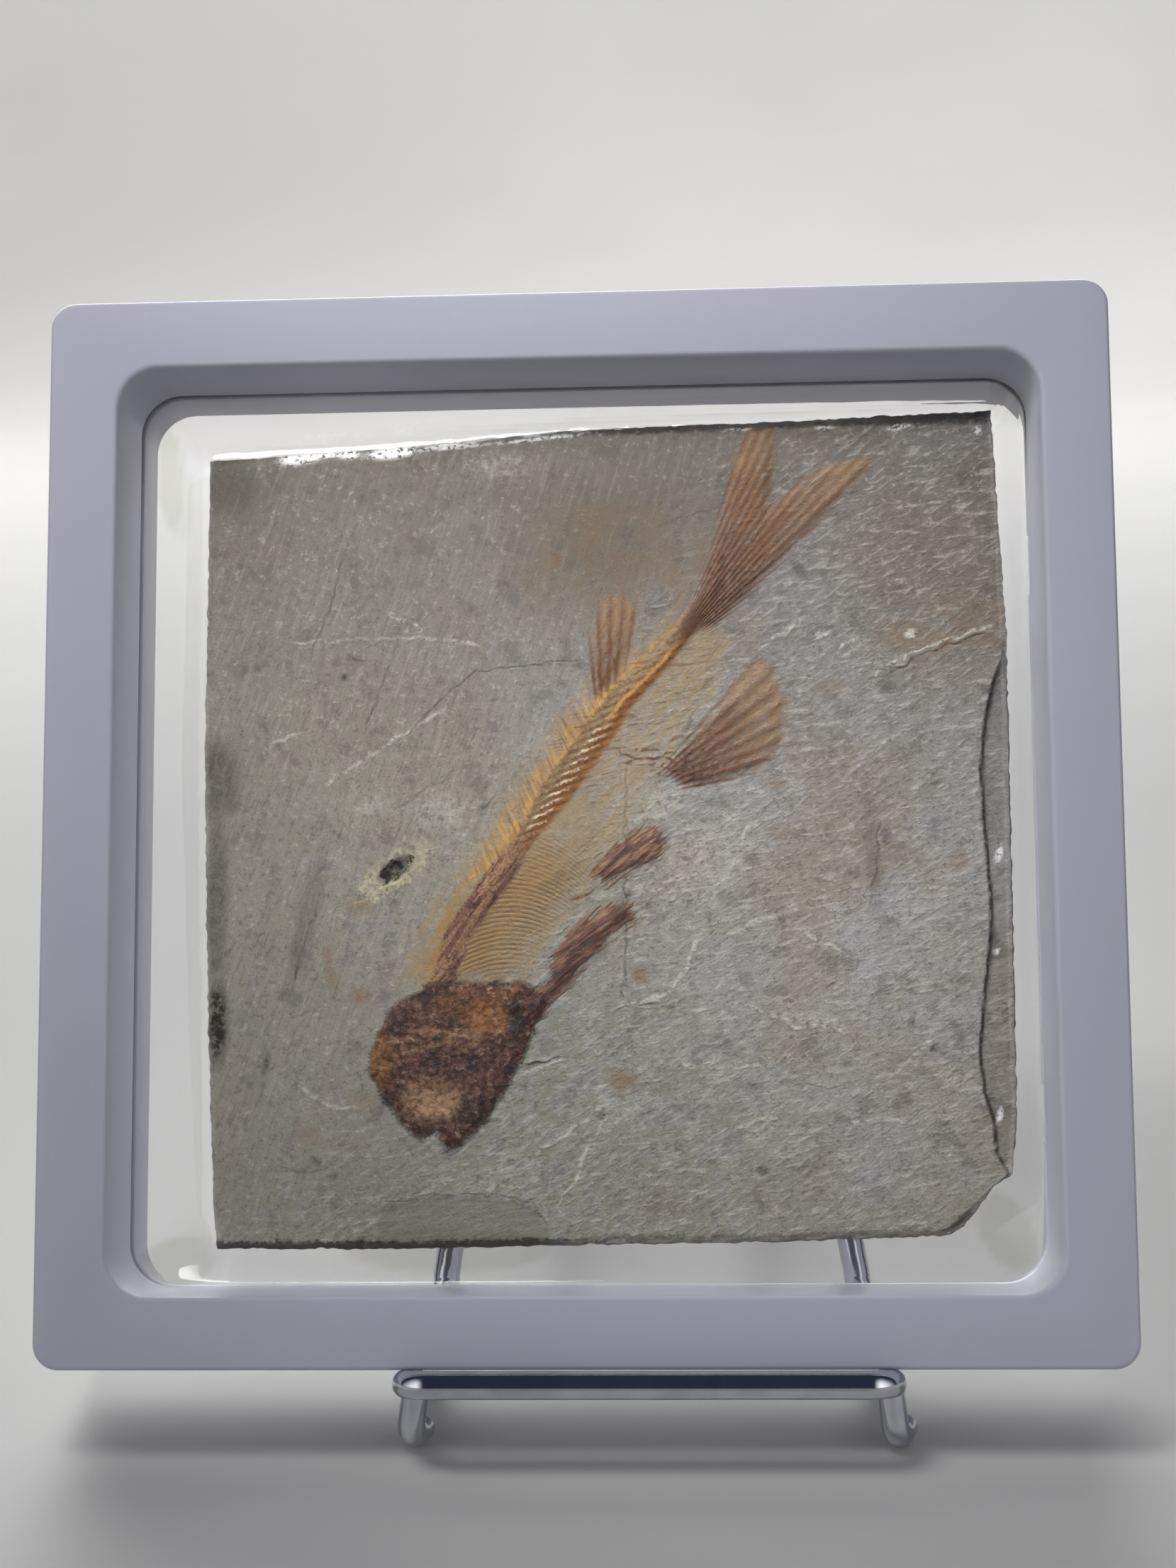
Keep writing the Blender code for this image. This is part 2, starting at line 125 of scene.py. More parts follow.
def writePoints(mesh, points):
    mesh.vertices.foreach_set("co", np.ascontiguousarray(points).ravel())
    mesh.update()


def chosenPoints(mesh):
    flags = np.empty(len(mesh.vertices), dtype=bool)
    mesh.vertices.foreach_get("select", flags)
    return flags


def settle(piece, name, finish, nodes, leaned=False):
    # the place goes into the mesh, and the object stays at the origin
    piece.name = name
    piece.data.name = name
    if leaned:
        piece.rotation_euler = (-leanAngle, 0.0, 0.0)
        piece.location = frameMiddle
    pickOnly(piece)
    bpy.ops.object.transform_apply(location=True, rotation=True, scale=True)
    piece.data.materials.clear()
    piece.data.materials.append(finish)
    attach(piece, "root")
    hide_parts(*nodes)
    piece.select_set(False)
    return piece


# node tools

def feed(node, inputs):
    # an input given as a socket is linked, anything else is set on the socket
    for key, value in inputs.items():
        if isinstance(value, bpy.types.NodeSocket):
            node.id_data.links.new(value, node.inputs[key])
        else:
            node.inputs[key].default_value = value


def addNode(tree, kind, inputs=None, **settings):
    made = tree.nodes.new("ShaderNode" + kind)
    for key, value in settings.items():
        setattr(made, key, value)
    feed(made, inputs or {})
    return made


def calc(tree, operation, first, second=0.0):
    return addNode(tree, "Math", {0: first, 1: second, 2: 0.0}, operation=operation).outputs[0]


def soften(tree, value, low, high, start=0.0, end=1.0):
    inputs = {"Value": value, "From Min": low, "From Max": high, "To Min": start, "To Max": end}
    return addNode(tree, "MapRange", inputs, interpolation_type="SMOOTHSTEP").outputs[0]


def grainOf(tree, vector, scale, detail=3.0, roughness=0.55):
    inputs = {"Vector": vector, "Scale": scale, "Detail": detail, "Roughness": roughness}
    return addNode(tree, "TexNoise", inputs).outputs[0]


def bumpOf(tree, height, strength, distance, **under):
    inputs = {"Height": height, "Strength": strength, "Distance": distance * mm, **under}
    return addNode(tree, "Bump", inputs).outputs[0]


def paint(tree, under, over, amount):
    inputs = {0: amount, 6: under, 7: over}
    return addNode(tree, "Mix", inputs, data_type="RGBA", clamp_factor=True).outputs[2]


def tone(red, green, blue):
    # a colour as a painter's 0 to 255 triple
    shares = [channel / 255.0 for channel in (red, green, blue)]
    return tuple(((s + 0.055) / 1.055) ** 2.4 if s > 0.04045 else s / 12.92 for s in shares) + (1.0,)


def newFinish(name):
    made = bpy.data.materials.new(name)
    made.use_nodes = True
    tree = made.node_tree
    return made, tree, tree.nodes["Principled BSDF"]


def onFrame(x, y, z):
    return Matrix.Rotation(-leanAngle, 3, "X") @ Vector((x, y, z)) + frameMiddle / mm


# camera, lamps and the pale sweep that it all stands on

camera = {
    "place": (16.41, -272.4, 124.71), "turn": (77.106477, 1.502920, 3.019178), "lens": 60.31,
    "sensor": 36.0, "nearest": 0.01,
}
# place, aim, size, watts and spread of each
lamps = {
    "lowKey": ((-0.28, 1.55, 0.69), (0.0, 0.0, 0.05), (1.8, 0.7), 5.4, 110.0),
    "highKey": ((-0.49, 1.22, 1.42), (0.0, 0.0, 0.05), (1.1, 0.9), 3.6, 120.0),
    "wallLamp": ((0.0, 0.95, 0.95), (0.0, 1.9, 0.25), (1.8, 0.4), 10.0, 180.0),
    "topLamp": ((-0.07, -0.10, 0.30), (0.0, 0.0, 0.09), (0.12, 0.08), 0.042, 50.0),
}
sweep = {
    "size": 7.0, "back": 1.9, "wallTop": 3.0, "curve": 0.7, "curveSteps": 16, "speckScale": 62.0,
    "speckRadius": (0.028, 0.012), "speckless": 0.90, "speckStrength": 0.6,
}


def makeCamera():
    place = Vector(camera["place"]) * mm
    turn = [math.radians(angle) for angle in camera["turn"]]
    bpy.ops.object.camera_add(location=place, rotation=turn)
    eye = bpy.context.object
    eye.data.lens = camera["lens"]
    eye.data.sensor_width = camera["sensor"]
    eye.data.clip_start = camera["nearest"]
    bpy.context.scene.camera = eye


def makeLamps():
    for name, (place, aim, size, watts, spread) in lamps.items():
        turn = (Vector(aim) - Vector(place)).to_track_quat("-Z", "Y").to_euler()
        bpy.ops.object.light_add(type="AREA", location=place, rotation=turn)
        lamp = bpy.context.object
        lamp.name = name
        lamp.data.shape = "RECTANGLE"
        lamp.data.size, lamp.data.size_y = size
        lamp.data.energy = watts
        lamp.data.spread = math.radians(spread)
        lamp.visible_camera = False
        lamp.visible_glossy = name != "topLamp"


def makeSky():
    sky = bpy.data.worlds.new("room")
    sky.use_nodes = True
    tree = sky.node_tree
    tree.nodes.clear()
    path = addNode(tree, "LightPath").outputs["Is Camera Ray"]
    direction = addNode(tree, "TexCoord").outputs["Generated"]
    split = addNode(tree, "SeparateXYZ", {0: direction})
    # light comes from the viewer's side, left and right of a dark strip that the shiny parts mirror
    ahead = soften(tree, split.outputs["Y"], 0.1, -0.8)
    aside = soften(tree, calc(tree, "ABSOLUTE", split.outputs["X"]), 0.32, 0.66)
    glow = paint(tree, tone(38, 42, 58), tone(250, 250, 253), calc(tree, "MULTIPLY", ahead, aside))
    shown = paint(tree, glow, tone(222, 221, 218), path)
    lit = addNode(tree, "Background", {"Color": shown, "Strength": 1.3})
    out = addNode(tree, "OutputWorld", {"Surface": lit.outputs[0]})
    out.is_active_output = True
    bpy.context.scene.world = sky


def makeFloor():
    plan = sweep
    deselectAll()
    middle = (0.0, plan["back"] - plan["size"] / 2, 0.0)
    bpy.ops.mesh.primitive_plane_add(size=plan["size"], location=middle)
    floor = bpy.context.object
    floor.name = "sweep"
    bpy.ops.object.transform_apply(location=True, rotation=True, scale=True)
    editMesh()
    bpy.ops.mesh.select_mode(type="EDGE")
    near = 0.01
    pickEdges(floor, lambda end: end.y > plan["back"] - near)
    bpy.ops.mesh.extrude_region_move(TRANSFORM_OT_translate={"value": (0.0, 0.0, plan["wallTop"])})
    pickEdges(floor, lambda end: end.y > plan["back"] - near and end.z < near)
    bpy.ops.mesh.bevel(offset=plan["curve"], segments=plan["curveSteps"], affect="EDGES")
    leaveMesh()
    bpy.ops.object.shade_smooth()

    finish, tree, shader = newFinish("pale board")
    place = addNode(tree, "TexCoord").outputs["Object"]
    cloud = soften(tree, grainOf(tree, place, 3.0), 0.35, 0.7)
    colour = paint(tree, tone(206, 205, 201), tone(212, 211, 208), cloud)
    speck = addNode(tree, "TexVoronoi", {"Vector": place, "Scale": plan["speckScale"]}, feature="F1")
    lot = addNode(tree, "SeparateColor", {0: speck.outputs["Color"]}).outputs[0]
    rare = calc(tree, "GREATER_THAN", lot, plan["speckless"])
    dust = calc(tree, "MULTIPLY", soften(tree, speck.outputs["Distance"], *plan["speckRadius"]), rare)
    dust = calc(tree, "MULTIPLY", dust, plan["speckStrength"])
    feed(shader, {"Base Color": paint(tree, colour, tone(150, 142, 130), dust), "Roughness": 0.55})
    floor.data.materials.append(finish)


deselectAll()
bpy.context.scene.view_settings.view_transform = "Standard"
makeCamera()
makeLamps()
makeSky()
makeFloor()
print("camera, lamps and sweep are in place")


# the stone slab, in the frame's own plane: x to the right, z up, in millimetres

slabPlan = {
    "half": 3.0, "columns": 272, "rows": 276, "layerDepth": 0.55, "flakeDepth": 0.12,
    "pitDepth": 0.55, "pitRim": 0.10, "nibble": 0.22, "chip": 0.25,
    # swells of the split face: depth, size and seed
    "swells": [(0.20, 15.0, 1.0), (0.09, 4.5, 2.0), (0.05, 1.4, 5.0)],
    # rings of the broken sides, each with its depth and how far it steps out, then of the back
    "sideRings": [
        (-2.1, 0.18), (-1.2, -0.10), (0.2, 0.16), (1.4, -0.12), (2.3, -0.25), (2.9, -0.55),
    ],
    "sideRough": 0.16, "sideWave": 0.12, "backRings": 10, "backSunk": 0.10, "backSwell": 0.22,
    # the finish draws no fish behind this depth: there each edge of a mark counts as far away
    "frontUntil": -1.2, "farAway": -90.0,
    "left": [
        (-43.3, -37.7), (-38.0, -38.2), (-20.0, -38.9), (-8.0, -39.2), (10.0, -39.6), (39.5, -39.4),
    ],
    "right": [
        (-42.3, 36.5), (-41.4, 38.6), (-39.5, 40.1), (-37.4, 41.6), (-36.2, 43.6), (-30.0, 44.2),
        (0.0, 44.3), (20.0, 44.4), (30.0, 43.9), (43.3, 43.4),
    ],
    "bottom": [(-37.7, -43.3), (-20.0, -43.4), (0.0, -43.0), (20.0, -42.8), (36.5, -42.3)],
    "top": [(-39.4, 39.5), (-20.0, 40.5), (0.0, 42.1), (20.0, 42.5), (43.4, 43.3)],
    "layer": [
        (-42.3, 36.2), (-36.2, 43.2), (-34.0, 42.0), (-31.0, 41.9), (-28.0, 41.0), (-24.0, 40.6),
        (-18.0, 41.2), (-12.0, 42.0), (-8.0, 42.1), (0.0, 41.6), (5.0, 41.4), (10.0, 41.9),
        (14.0, 42.8), (17.0, 44.0), (43.3, 43.1),
    ],
    "flake": [
        (-22.0, -46.0), (-21.2, -39.4), (-15.0, -38.2), (-8.0, -38.4), (-5.0, -39.4), (-3.6, -41.6),
        (-2.6, -46.0),
    ],
    "pit": ((-19.4, -4.6), (2.0, 0.85), math.radians(36.0)),
}

# fine pale ridges and dark cracks: points along the line, strength
paleLines = [
    ([(43.5, 20.4), (40.0, 19.3), (36.5, 18.1), (33.0, 16.7), (31.0, 15.3), (30.0, 14.0)], 1.0),
    ([(-6.6, -25.7), (-3.2, -24.9), (-1.0, -24.3)], 0.7),
    ([(3.4, -19.1), (6.5, -18.4), (9.5, -17.2), (11.0, -14.8), (12.2, -11.6)], 0.9),
    ([(-5.4, -34.2), (-2.5, -32.6), (0.0, -30.8), (2.8, -28.8)], 0.8),
    ([(-2.8, -39.8), (-0.6, -36.2), (0.2, -33.6), (2.8, -30.0)], 0.8),
    ([(16.8, -18.8), (20.2, -20.2), (22.5, -21.4), (24.5, -21.0), (27.4, -22.2)], 1.0),
    ([(9.5, -24.9), (14.0, -25.4), (19.6, -25.0)], 0.6),
    ([(21.6, -10.8), (24.5, -12.5), (27.6, -13.8)], 0.7),
    ([(26.6, -31.7), (29.5, -30.6), (33.4, -30.9)], 0.6),
    ([(13.8, -32.8), (17.0, -31.0), (20.0, -30.3)], 0.6),
    ([(31.0, -26.6), (34.5, -23.8), (36.4, -22.2)], 0.6), ([(25.8, 16.9), (29.4, 19.4)], 0.9),
    ([(24.2, 18.4), (26.6, 20.2)], 0.9), ([(18.4, 17.6), (21.0, 19.6), (24.0, 21.6)], 0.6),
    ([(-27.4, 4.2), (-22.0, 7.5), (-17.5, 10.4), (-13.8, 12.6)], 0.6),
    ([(-20.6, 22.8), (-16.0, 20.6)], 0.9),
    ([(-31.0, 19.6), (-24.0, 19.9), (-16.0, 20.0), (-10.0, 19.0)], 0.4),
    ([(-34.0, 8.0), (-29.0, 10.4)], 0.5), ([(15.0, -12.0), (19.0, -9.8), (22.6, -9.2)], 0.5),
    ([(27.0, 4.0), (30.6, 7.4), (34.0, 9.6)], 0.4), ([(13.4, -8.2), (16.0, -4.0), (17.8, 0.6)], 0.4),
    ([(-30.0, -26.0), (-26.6, -28.8), (-22.6, -29.4)], 0.5),
    ([(4.4, -36.6), (9.0, -35.4), (13.2, -35.9)], 0.4),
    ([(31.2, -8.6), (35.6, -7.0), (40.0, -7.4)], 0.4),
]
darkLines = [
    ([(43.0, 19.7), (40.0, 18.7), (36.4, 17.4), (33.0, 16.0), (31.2, 14.8)], 0.8),
    ([(-6.4, -24.9), (-4.0, -24.5), (-1.6, -24.0)], 1.0),
    ([(4.8, 6.4), (4.6, -2.0), (4.6, -10.0), (4.3, -19.0)], 0.6),
    ([(-18.4, 9.4), (-13.5, 14.5), (-11.0, 16.3), (-5.0, 16.8), (0.6, 17.5)], 0.6),
    ([(-28.6, 17.0), (-26.0, 25.0), (-24.4, 31.6)], 0.5),
    ([(-22.8, 9.6), (-20.4, 16.0), (-18.8, 20.4)], 0.5),
    ([(-27.6, -8.0), (-29.2, -12.6), (-30.2, -17.6)], 0.6), ([(-10.3, 1.7), (-8.6, 3.4)], 0.8),
    ([(31.0, 0.4), (30.6, -4.4), (29.4, -9.6)], 0.5), ([(-25.0, 18.2), (-22.4, 17.4)], 0.7),
    ([(3.2, -19.8), (4.4, -18.9), (8.6, -18.3)], 0.6),
    ([(20.0, -26.4), (25.0, -27.6), (29.0, -26.6)], 0.35),
    ([(-22.2, -38.9), (-15.0, -38.0), (-8.0, -38.1), (-5.0, -39.2), (-3.6, -41.6)], 0.5),
    ([(-32.0, -34.8), (-28.4, -35.8), (-25.0, -35.2)], 0.5),
    ([(-20.0, 1.6), (-16.6, 3.4), (-12.0, 6.6)], 0.4),
    ([(8.0, 31.4), (14.0, 33.0), (19.0, 36.9), (22.4, 37.3)], 0.4),
]

# thin brown bones off the backbone: fin supports, a rib's end and small spines
boneLines = [
    ([(3.2, 8.0), (6.8, 7.7), (10.6, 7.2)], 0.8), ([(3.4, 7.3), (7.0, 6.9), (10.8, 6.4)], 1.0),
    ([(3.8, 6.5), (7.4, 6.1), (10.8, 5.7)], 0.9), ([(4.6, 5.7), (7.8, 5.3), (10.6, 5.0)], 0.7),
    ([(8.6, 8.3), (11.4, 9.4), (13.6, 10.6)], 0.5), ([(-1.8, -8.1), (-0.4, -7.8), (1.6, -6.4)], 1.0),
    ([(-2.4, 11.8), (-1.2, 9.9), (-0.2, 8.4)], 0.6), ([(-1.0, 12.2), (0.4, 10.2)], 0.5),
    ([(2.2, 17.4), (2.4, 15.6), (2.8, 13.4)], 1.0), ([(3.2, 20.6), (3.4, 17.4), (3.9, 15.2)], 0.8),
    ([(9.6, 8.0), (11.6, 11.0), (13.0, 13.0)], 0.4), ([(11.0, 12.8), (13.2, 14.9), (15.0, 16.0)], 0.4),
    ([(-4.6, 4.6), (-3.6, 3.4)], 0.5), ([(-6.4, 2.4), (-5.2, 1.0)], 0.5),
    ([(0.8, 14.2), (2.6, 13.0)], 0.6), ([(16.8, 29.6), (18.4, 29.8), (20.0, 29.4)], 0.9),
    ([(15.4, 29.4), (16.6, 29.0), (18.0, 28.2)], 0.7),
]

fishPlan = {
    "spine": [
        (-14.4, -16.8), (-12.9, -11.6), (-9.9, -7.3), (-6.9, -3.2), (-3.4, 2.0), (0.8, 8.0),
        (4.4, 13.0), (8.6, 17.0), (11.7, 21.0), (14.6, 25.6),
    ],
    "head": [
        (-15.4, -16.2), (-17.5, -17.4), (-19.8, -18.8), (-21.6, -22.4), (-22.2, -25.0), (-20.6, -28.2),
        (-18.4, -31.0), (-16.8, -32.3), (-15.1, -31.4), (-13.9, -33.7), (-10.5, -31.3), (-7.8, -27.2),
        (-5.4, -22.4), (-3.8, -18.0), (-6.0, -16.3), (-11.0, -16.2),
    ],
    "body": [
        (-19.4, -16.0), (-17.4, -11.0), (-14.4, -6.6), (-11.4, -2.4), (-9.0, 1.2), (-6.4, 4.8),
        (-4.0, 9.0), (-1.6, 12.8), (1.6, 15.4), (4.6, 18.2), (8.6, 21.0), (11.0, 23.0), (14.4, 22.6),
        (15.4, 18.6), (14.6, 13.6), (12.0, 9.6), (9.3, 5.6), (7.2, 1.8), (4.6, -2.4), (1.0, -7.2),
        (-1.5, -10.8), (-5.0, -15.6), (-9.0, -17.0),
    ],
    "spineLength": 52.0, "orbit": ((-15.2, -28.2), (2.5, 1.8), 0.0),
    "gillCover": ((-10.9, -19.8), (2.4, 2.1), 0.0),
    "shoulderFin": [
        (-6.6, -19.4), (-3.3, -15.7), (-1.3, -11.6), (0.4, -9.9), (4.6, -8.3), (5.2, -9.8),
        (2.6, -11.4), (0.6, -14.0), (-2.6, -17.4), (-5.0, -20.6),
    ],
    "bellyFin": [
        (1.3, -4.5), (3.6, -2.5), (6.0, -0.8), (7.7, -0.7), (8.5, -2.0), (7.8, -3.4), (5.2, -4.6),
        (2.4, -5.9),
    ],
    "ventFin": [
        (9.2, 5.6), (11.0, 4.2), (14.5, 4.5), (18.9, 6.0), (20.8, 8.6), (20.9, 12.6), (19.8, 16.6),
        (18.0, 16.4), (14.6, 12.2), (11.6, 8.6),
    ],
    "backFin": [
        (1.8, 13.9), (1.4, 17.2), (1.8, 21.2), (2.8, 23.8), (4.8, 23.8), (5.6, 22.0), (5.0, 19.0),
        (3.8, 16.0),
    ],
    "tailFin": [
        (11.4, 20.6), (12.4, 23.0), (14.4, 28.0), (15.4, 33.0), (16.6, 38.4), (17.8, 41.8),
        (20.4, 41.4), (20.2, 37.0), (19.4, 32.2), (22.0, 34.6), (25.4, 37.2), (30.4, 38.2),
        (30.2, 37.0), (27.2, 34.0), (23.2, 30.0), (18.4, 25.2), (14.0, 20.9),
    ],
    # how far the matted fins stand out, then the rayed ones and their rays
    "blades": {"shoulderFin": 0.42, "bellyFin": 0.30},
    "rays": {"ventFin": (0.12, 0.22), "backFin": (0.12, 0.10), "tailFin": (0.18, 0.12)},
    # centre of each fan of rays, rays for each radian, and the fan's reach
    "fans": {
        "ventFin": ((5.4, 2.6), 68.0, 16.6), "tailFin": ((9.0, 17.4), 150.0, 26.0),
        "backFin": ((2.6, 4.0), 90.0, 20.0),
    },
}

# marks on the stone, by tone: x, z, half width, half height, turn in degrees, strength
stoneMarks = {
    "dark": [
        (-24.8, 15.9, 0.35, 0.3, 0, 1.0), (-18.0, 21.7, 0.45, 0.3, 0, 0.7),
        (36.0, -23.5, 0.5, 0.4, 30, 0.8), (18.3, -35.7, 0.6, 0.45, 0, 0.8),
        (1.9, -30.0, 0.45, 0.4, 0, 0.9), (-32.8, -24.5, 0.35, 1.1, -12, 0.8),
        (31.5, -1.5, 0.5, 0.9, 0, 0.5), (36.5, -0.7, 0.5, 1.1, 0, 0.35), (9.2, -19.0, 0.4, 0.3, 0, 0.6),
        (4.9, -7.4, 0.35, 0.3, 0, 0.7), (6.9, -8.5, 0.3, 0.3, 0, 0.6), (-10.2, 1.9, 0.4, 0.25, 30, 0.7),
        (-12.0, 6.3, 0.3, 0.2, 0, 0.6), (-27.5, -34.5, 0.6, 0.3, -40, 0.7),
        (-25.6, -36.0, 0.5, 0.3, 0, 0.6), (31.8, 13.9, 0.8, 1.0, 20, 0.4),
        (-36.0, 28.0, 0.5, 0.4, 0, 0.4), (-37.4, 37.0, 2.8, 3.6, 20, 0.45),
        (-38.0, -20.2, 1.1, 3.8, 0, 1.1), (-38.0, 5.0, 2.0, 3.6, 0, 0.6),
        (-38.2, -7.0, 1.1, 9.0, 0, 0.55), (-28.6, -9.5, 1.0, 6.5, -12, 0.36),
        (30.2, -4.0, 0.8, 7.0, 3, 0.3), (36.4, -0.9, 0.5, 1.1, 0, 0.4), (-2.6, -5.6, 1.5, 0.7, 15, 0.6),
        (23.0, 26.6, 1.1, 0.5, -50, 0.55), (38.5, -22.0, 0.6, 1.4, 20, 0.5),
        (6.0, 30.5, 12.0, 7.0, 12, 0.24), (-1.0, -5.6, 2.6, 1.6, 10, 0.22),
    ],
    "ochre": [
        (-22.9, -17.5, 1.0, 0.8, 0, 0.8), (6.1, -15.5, 0.9, 0.8, 0, 1.0),
        (4.0, -26.5, 1.3, 1.0, 0, 0.75), (20.4, 4.0, 0.9, 0.7, 0, 0.8), (26.0, 14.0, 1.6, 1.2, 0, 0.55),
        (38.8, -4.3, 1.0, 0.8, 0, 0.7), (41.5, 20.5, 2.6, 3.0, 20, 0.45),
        (37.5, 18.6, 1.6, 1.1, 20, 0.7), (33.6, 19.2, 2.2, 1.6, 0, 0.6), (38.2, 22.6, 1.6, 1.2, 0, 0.4),
        (3.6, 28.4, 10.0, 6.0, 12, 0.42), (-2.6, 28.0, 1.2, 1.8, 0, 0.7),
        (11.0, 27.5, 4.6, 3.4, 50, 0.5), (-26.2, -14.6, 0.6, 2.4, 12, 0.45),
        (15.6, 19.4, 3.4, 3.0, 30, 0.35), (-23.5, -8.2, 1.6, 0.9, 0, 0.5),
        (-28.4, -31.6, 1.0, 0.9, 0, 0.4), (-22.4, -28.6, 1.6, 1.2, 0, 0.35),
        (20.5, -1.2, 0.9, 0.6, 0, 0.5),
    ],
    "pale": [
        (34.5, 19.5, 0.55, 0.4, 0, 1.3), (-22.0, 2.0, 2.6, 1.2, 20, 0.2),
        (13.5, -3.6, 5.0, 3.0, 30, 0.25), (-15.0, 1.6, 2.6, 1.8, 10, 0.3),
        (8.0, 1.8, 2.4, 1.0, 20, 0.35), (24.0, -20.6, 3.4, 0.7, -12, 0.35),
        (5.0, -29.5, 2.4, 0.6, 35, 0.3), (-8.0, 38.2, 3.0, 1.4, 0, 0.2),
        (-7.5, -36.0, 3.0, 2.0, 0, 0.15),
    ],
}

# painted highlights: bright glints painted into the stone where the film runs over the sharp rim, in
# the same order
glintMarks = [
    (-29.6, 39.7, 2.0, 0.7, 8, 1.3), (-26.4, 40.0, 2.4, 0.35, 4, 1.1), (-24.4, 39.9, 0.9, 0.5, 0, 1.2),
    (-19.8, 40.0, 2.4, 0.6, 6, 1.3), (-14.0, 40.5, 4.0, 0.2, 4, 0.8), (-4.0, 41.2, 4.4, 0.2, 5, 0.8),
    (17.0, 41.8, 1.2, 0.14, 2, 0.8), (26.0, 41.7, 0.8, 0.16, 0, 0.8), (33.8, 41.6, 1.1, 0.24, 10, 1.0),
    (41.9, 41.0, 0.4, 0.3, -40, 1.0), (43.1, -3.6, 0.3, 0.8, -15, 1.1),
    (42.6, -13.5, 0.2, 0.45, -10, 1.0), (42.5, -30.3, 0.24, 0.8, -12, 1.1),
]

# tones within the skull, in the same order
skullMarks = {
    "dark": [
        (-10.8, -29.5, 2.4, 1.8, 45, 0.9), (-19.6, -27.3, 1.2, 2.6, -35, 0.6),
        (-6.8, -20.2, 0.8, 3.0, -8, 0.9), (-18.6, -19.9, 2.0, 1.0, 35, 0.6),
        (-13.4, -24.6, 3.8, 1.6, 5, 0.7), (-15.8, -31.6, 1.4, 1.0, 0, 0.5),
        (-16.4, -17.6, 1.6, 0.9, 20, 0.5), (-4.4, -18.6, 0.9, 1.8, -20, 0.5),
    ],
    "ochre": [
        (-21.2, -24.3, 1.5, 2.6, 10, 0.9), (-12.6, -18.5, 2.0, 1.3, -10, 0.55),
        (-9.9, -19.6, 2.2, 1.9, 15, 1.0), (-8.2, -17.4, 1.6, 0.6, 10, 0.5),
    ],
    "pale": [
        (-15.3, -28.3, 2.7, 2.0, -8, 1.0), (-13.6, -21.6, 3.6, 0.35, -6, 0.7),
        (-15.8, -22.9, 2.8, 0.3, 14, 0.6), (-11.4, -22.7, 1.6, 0.3, 30, 0.6),
    ],
}


def along(edge, at):
    return np.interp(at, [place for place, _ in edge], [value for _, value in edge])


def nearestOn(points, a, b):
    # how far along the way from a to b each point lies, and its shift from there
    edge = b - a
    share = np.clip(((points - a) @ edge) / (edge @ edge), 0.0, 1.0)
    return share, points - a - share[:, None] * edge


def insideBy(points, outline):
    # distance to a closed outline, negative outside
    corners = np.array(outline)
    inside = np.zeros(len(points), dtype=bool)
    nearest = np.full(len(points), farOff)
    for a, b in zip(corners, np.roll(corners, -1, axis=0)):
        _, shift = nearestOn(points, a, b)
        nearest = np.minimum(nearest, np.linalg.norm(shift, axis=1))
        crosses = (a[1] > points[:, 1]) != (b[1] > points[:, 1])
        slope = (b[0] - a[0]) / (b[1] - a[1]) if b[1] != a[1] else 0.0
        inside ^= crosses & (points[:, 0] < a[0] + slope * (points[:, 1] - a[1]))
    return np.where(inside, nearest, -nearest)


def fromLine(points, line):
    # distance to a broken line (positive on its left), and the length run along it
    corners = np.array(line)
    nearest = np.full(len(points), farOff)
    side = np.ones(len(points))
    place = np.zeros(len(points))
    run = 0.0
    for a, b in zip(corners, corners[1:]):
        edge = b - a
        length = np.linalg.norm(edge)
        share, shift = nearestOn(points, a, b)
        distance = np.linalg.norm(shift, axis=1)
        closer = distance < nearest
        nearest = np.where(closer, distance, nearest)
        side = np.where(closer, np.sign(edge[0] * shift[:, 1] - edge[1] * shift[:, 0]), side)
        place = np.where(closer, run + share * length, place)
        run += length
    return nearest * side, place


def ramp(value, low, high):
    share = np.clip((value - low) / (high - low), 0.0, 1.0)
    return share * share * (3.0 - 2.0 * share)


def oval(points, centre, radii, turn):
    # 1 in the middle, 0 on the rim, below 0 outside
    shift = points - np.array(centre)
    u = shift[:, 0] * math.cos(turn) + shift[:, 1] * math.sin(turn)
    v = -shift[:, 0] * math.sin(turn) + shift[:, 1] * math.cos(turn)
    return 1.0 - np.hypot(u / radii[0], v / radii[1])


def fanOf(points, name):
    centre, count, reach = fishPlan["fans"][name]
    shift = points - np.array(centre)
    return np.arctan2(shift[:, 1], shift[:, 0]) * count, np.hypot(shift[:, 0], shift[:, 1]) / reach


def unevenness(points, size, seed):
    return np.array([noise.noise(Vector((x / size, z / size, seed))) for x, z in points])


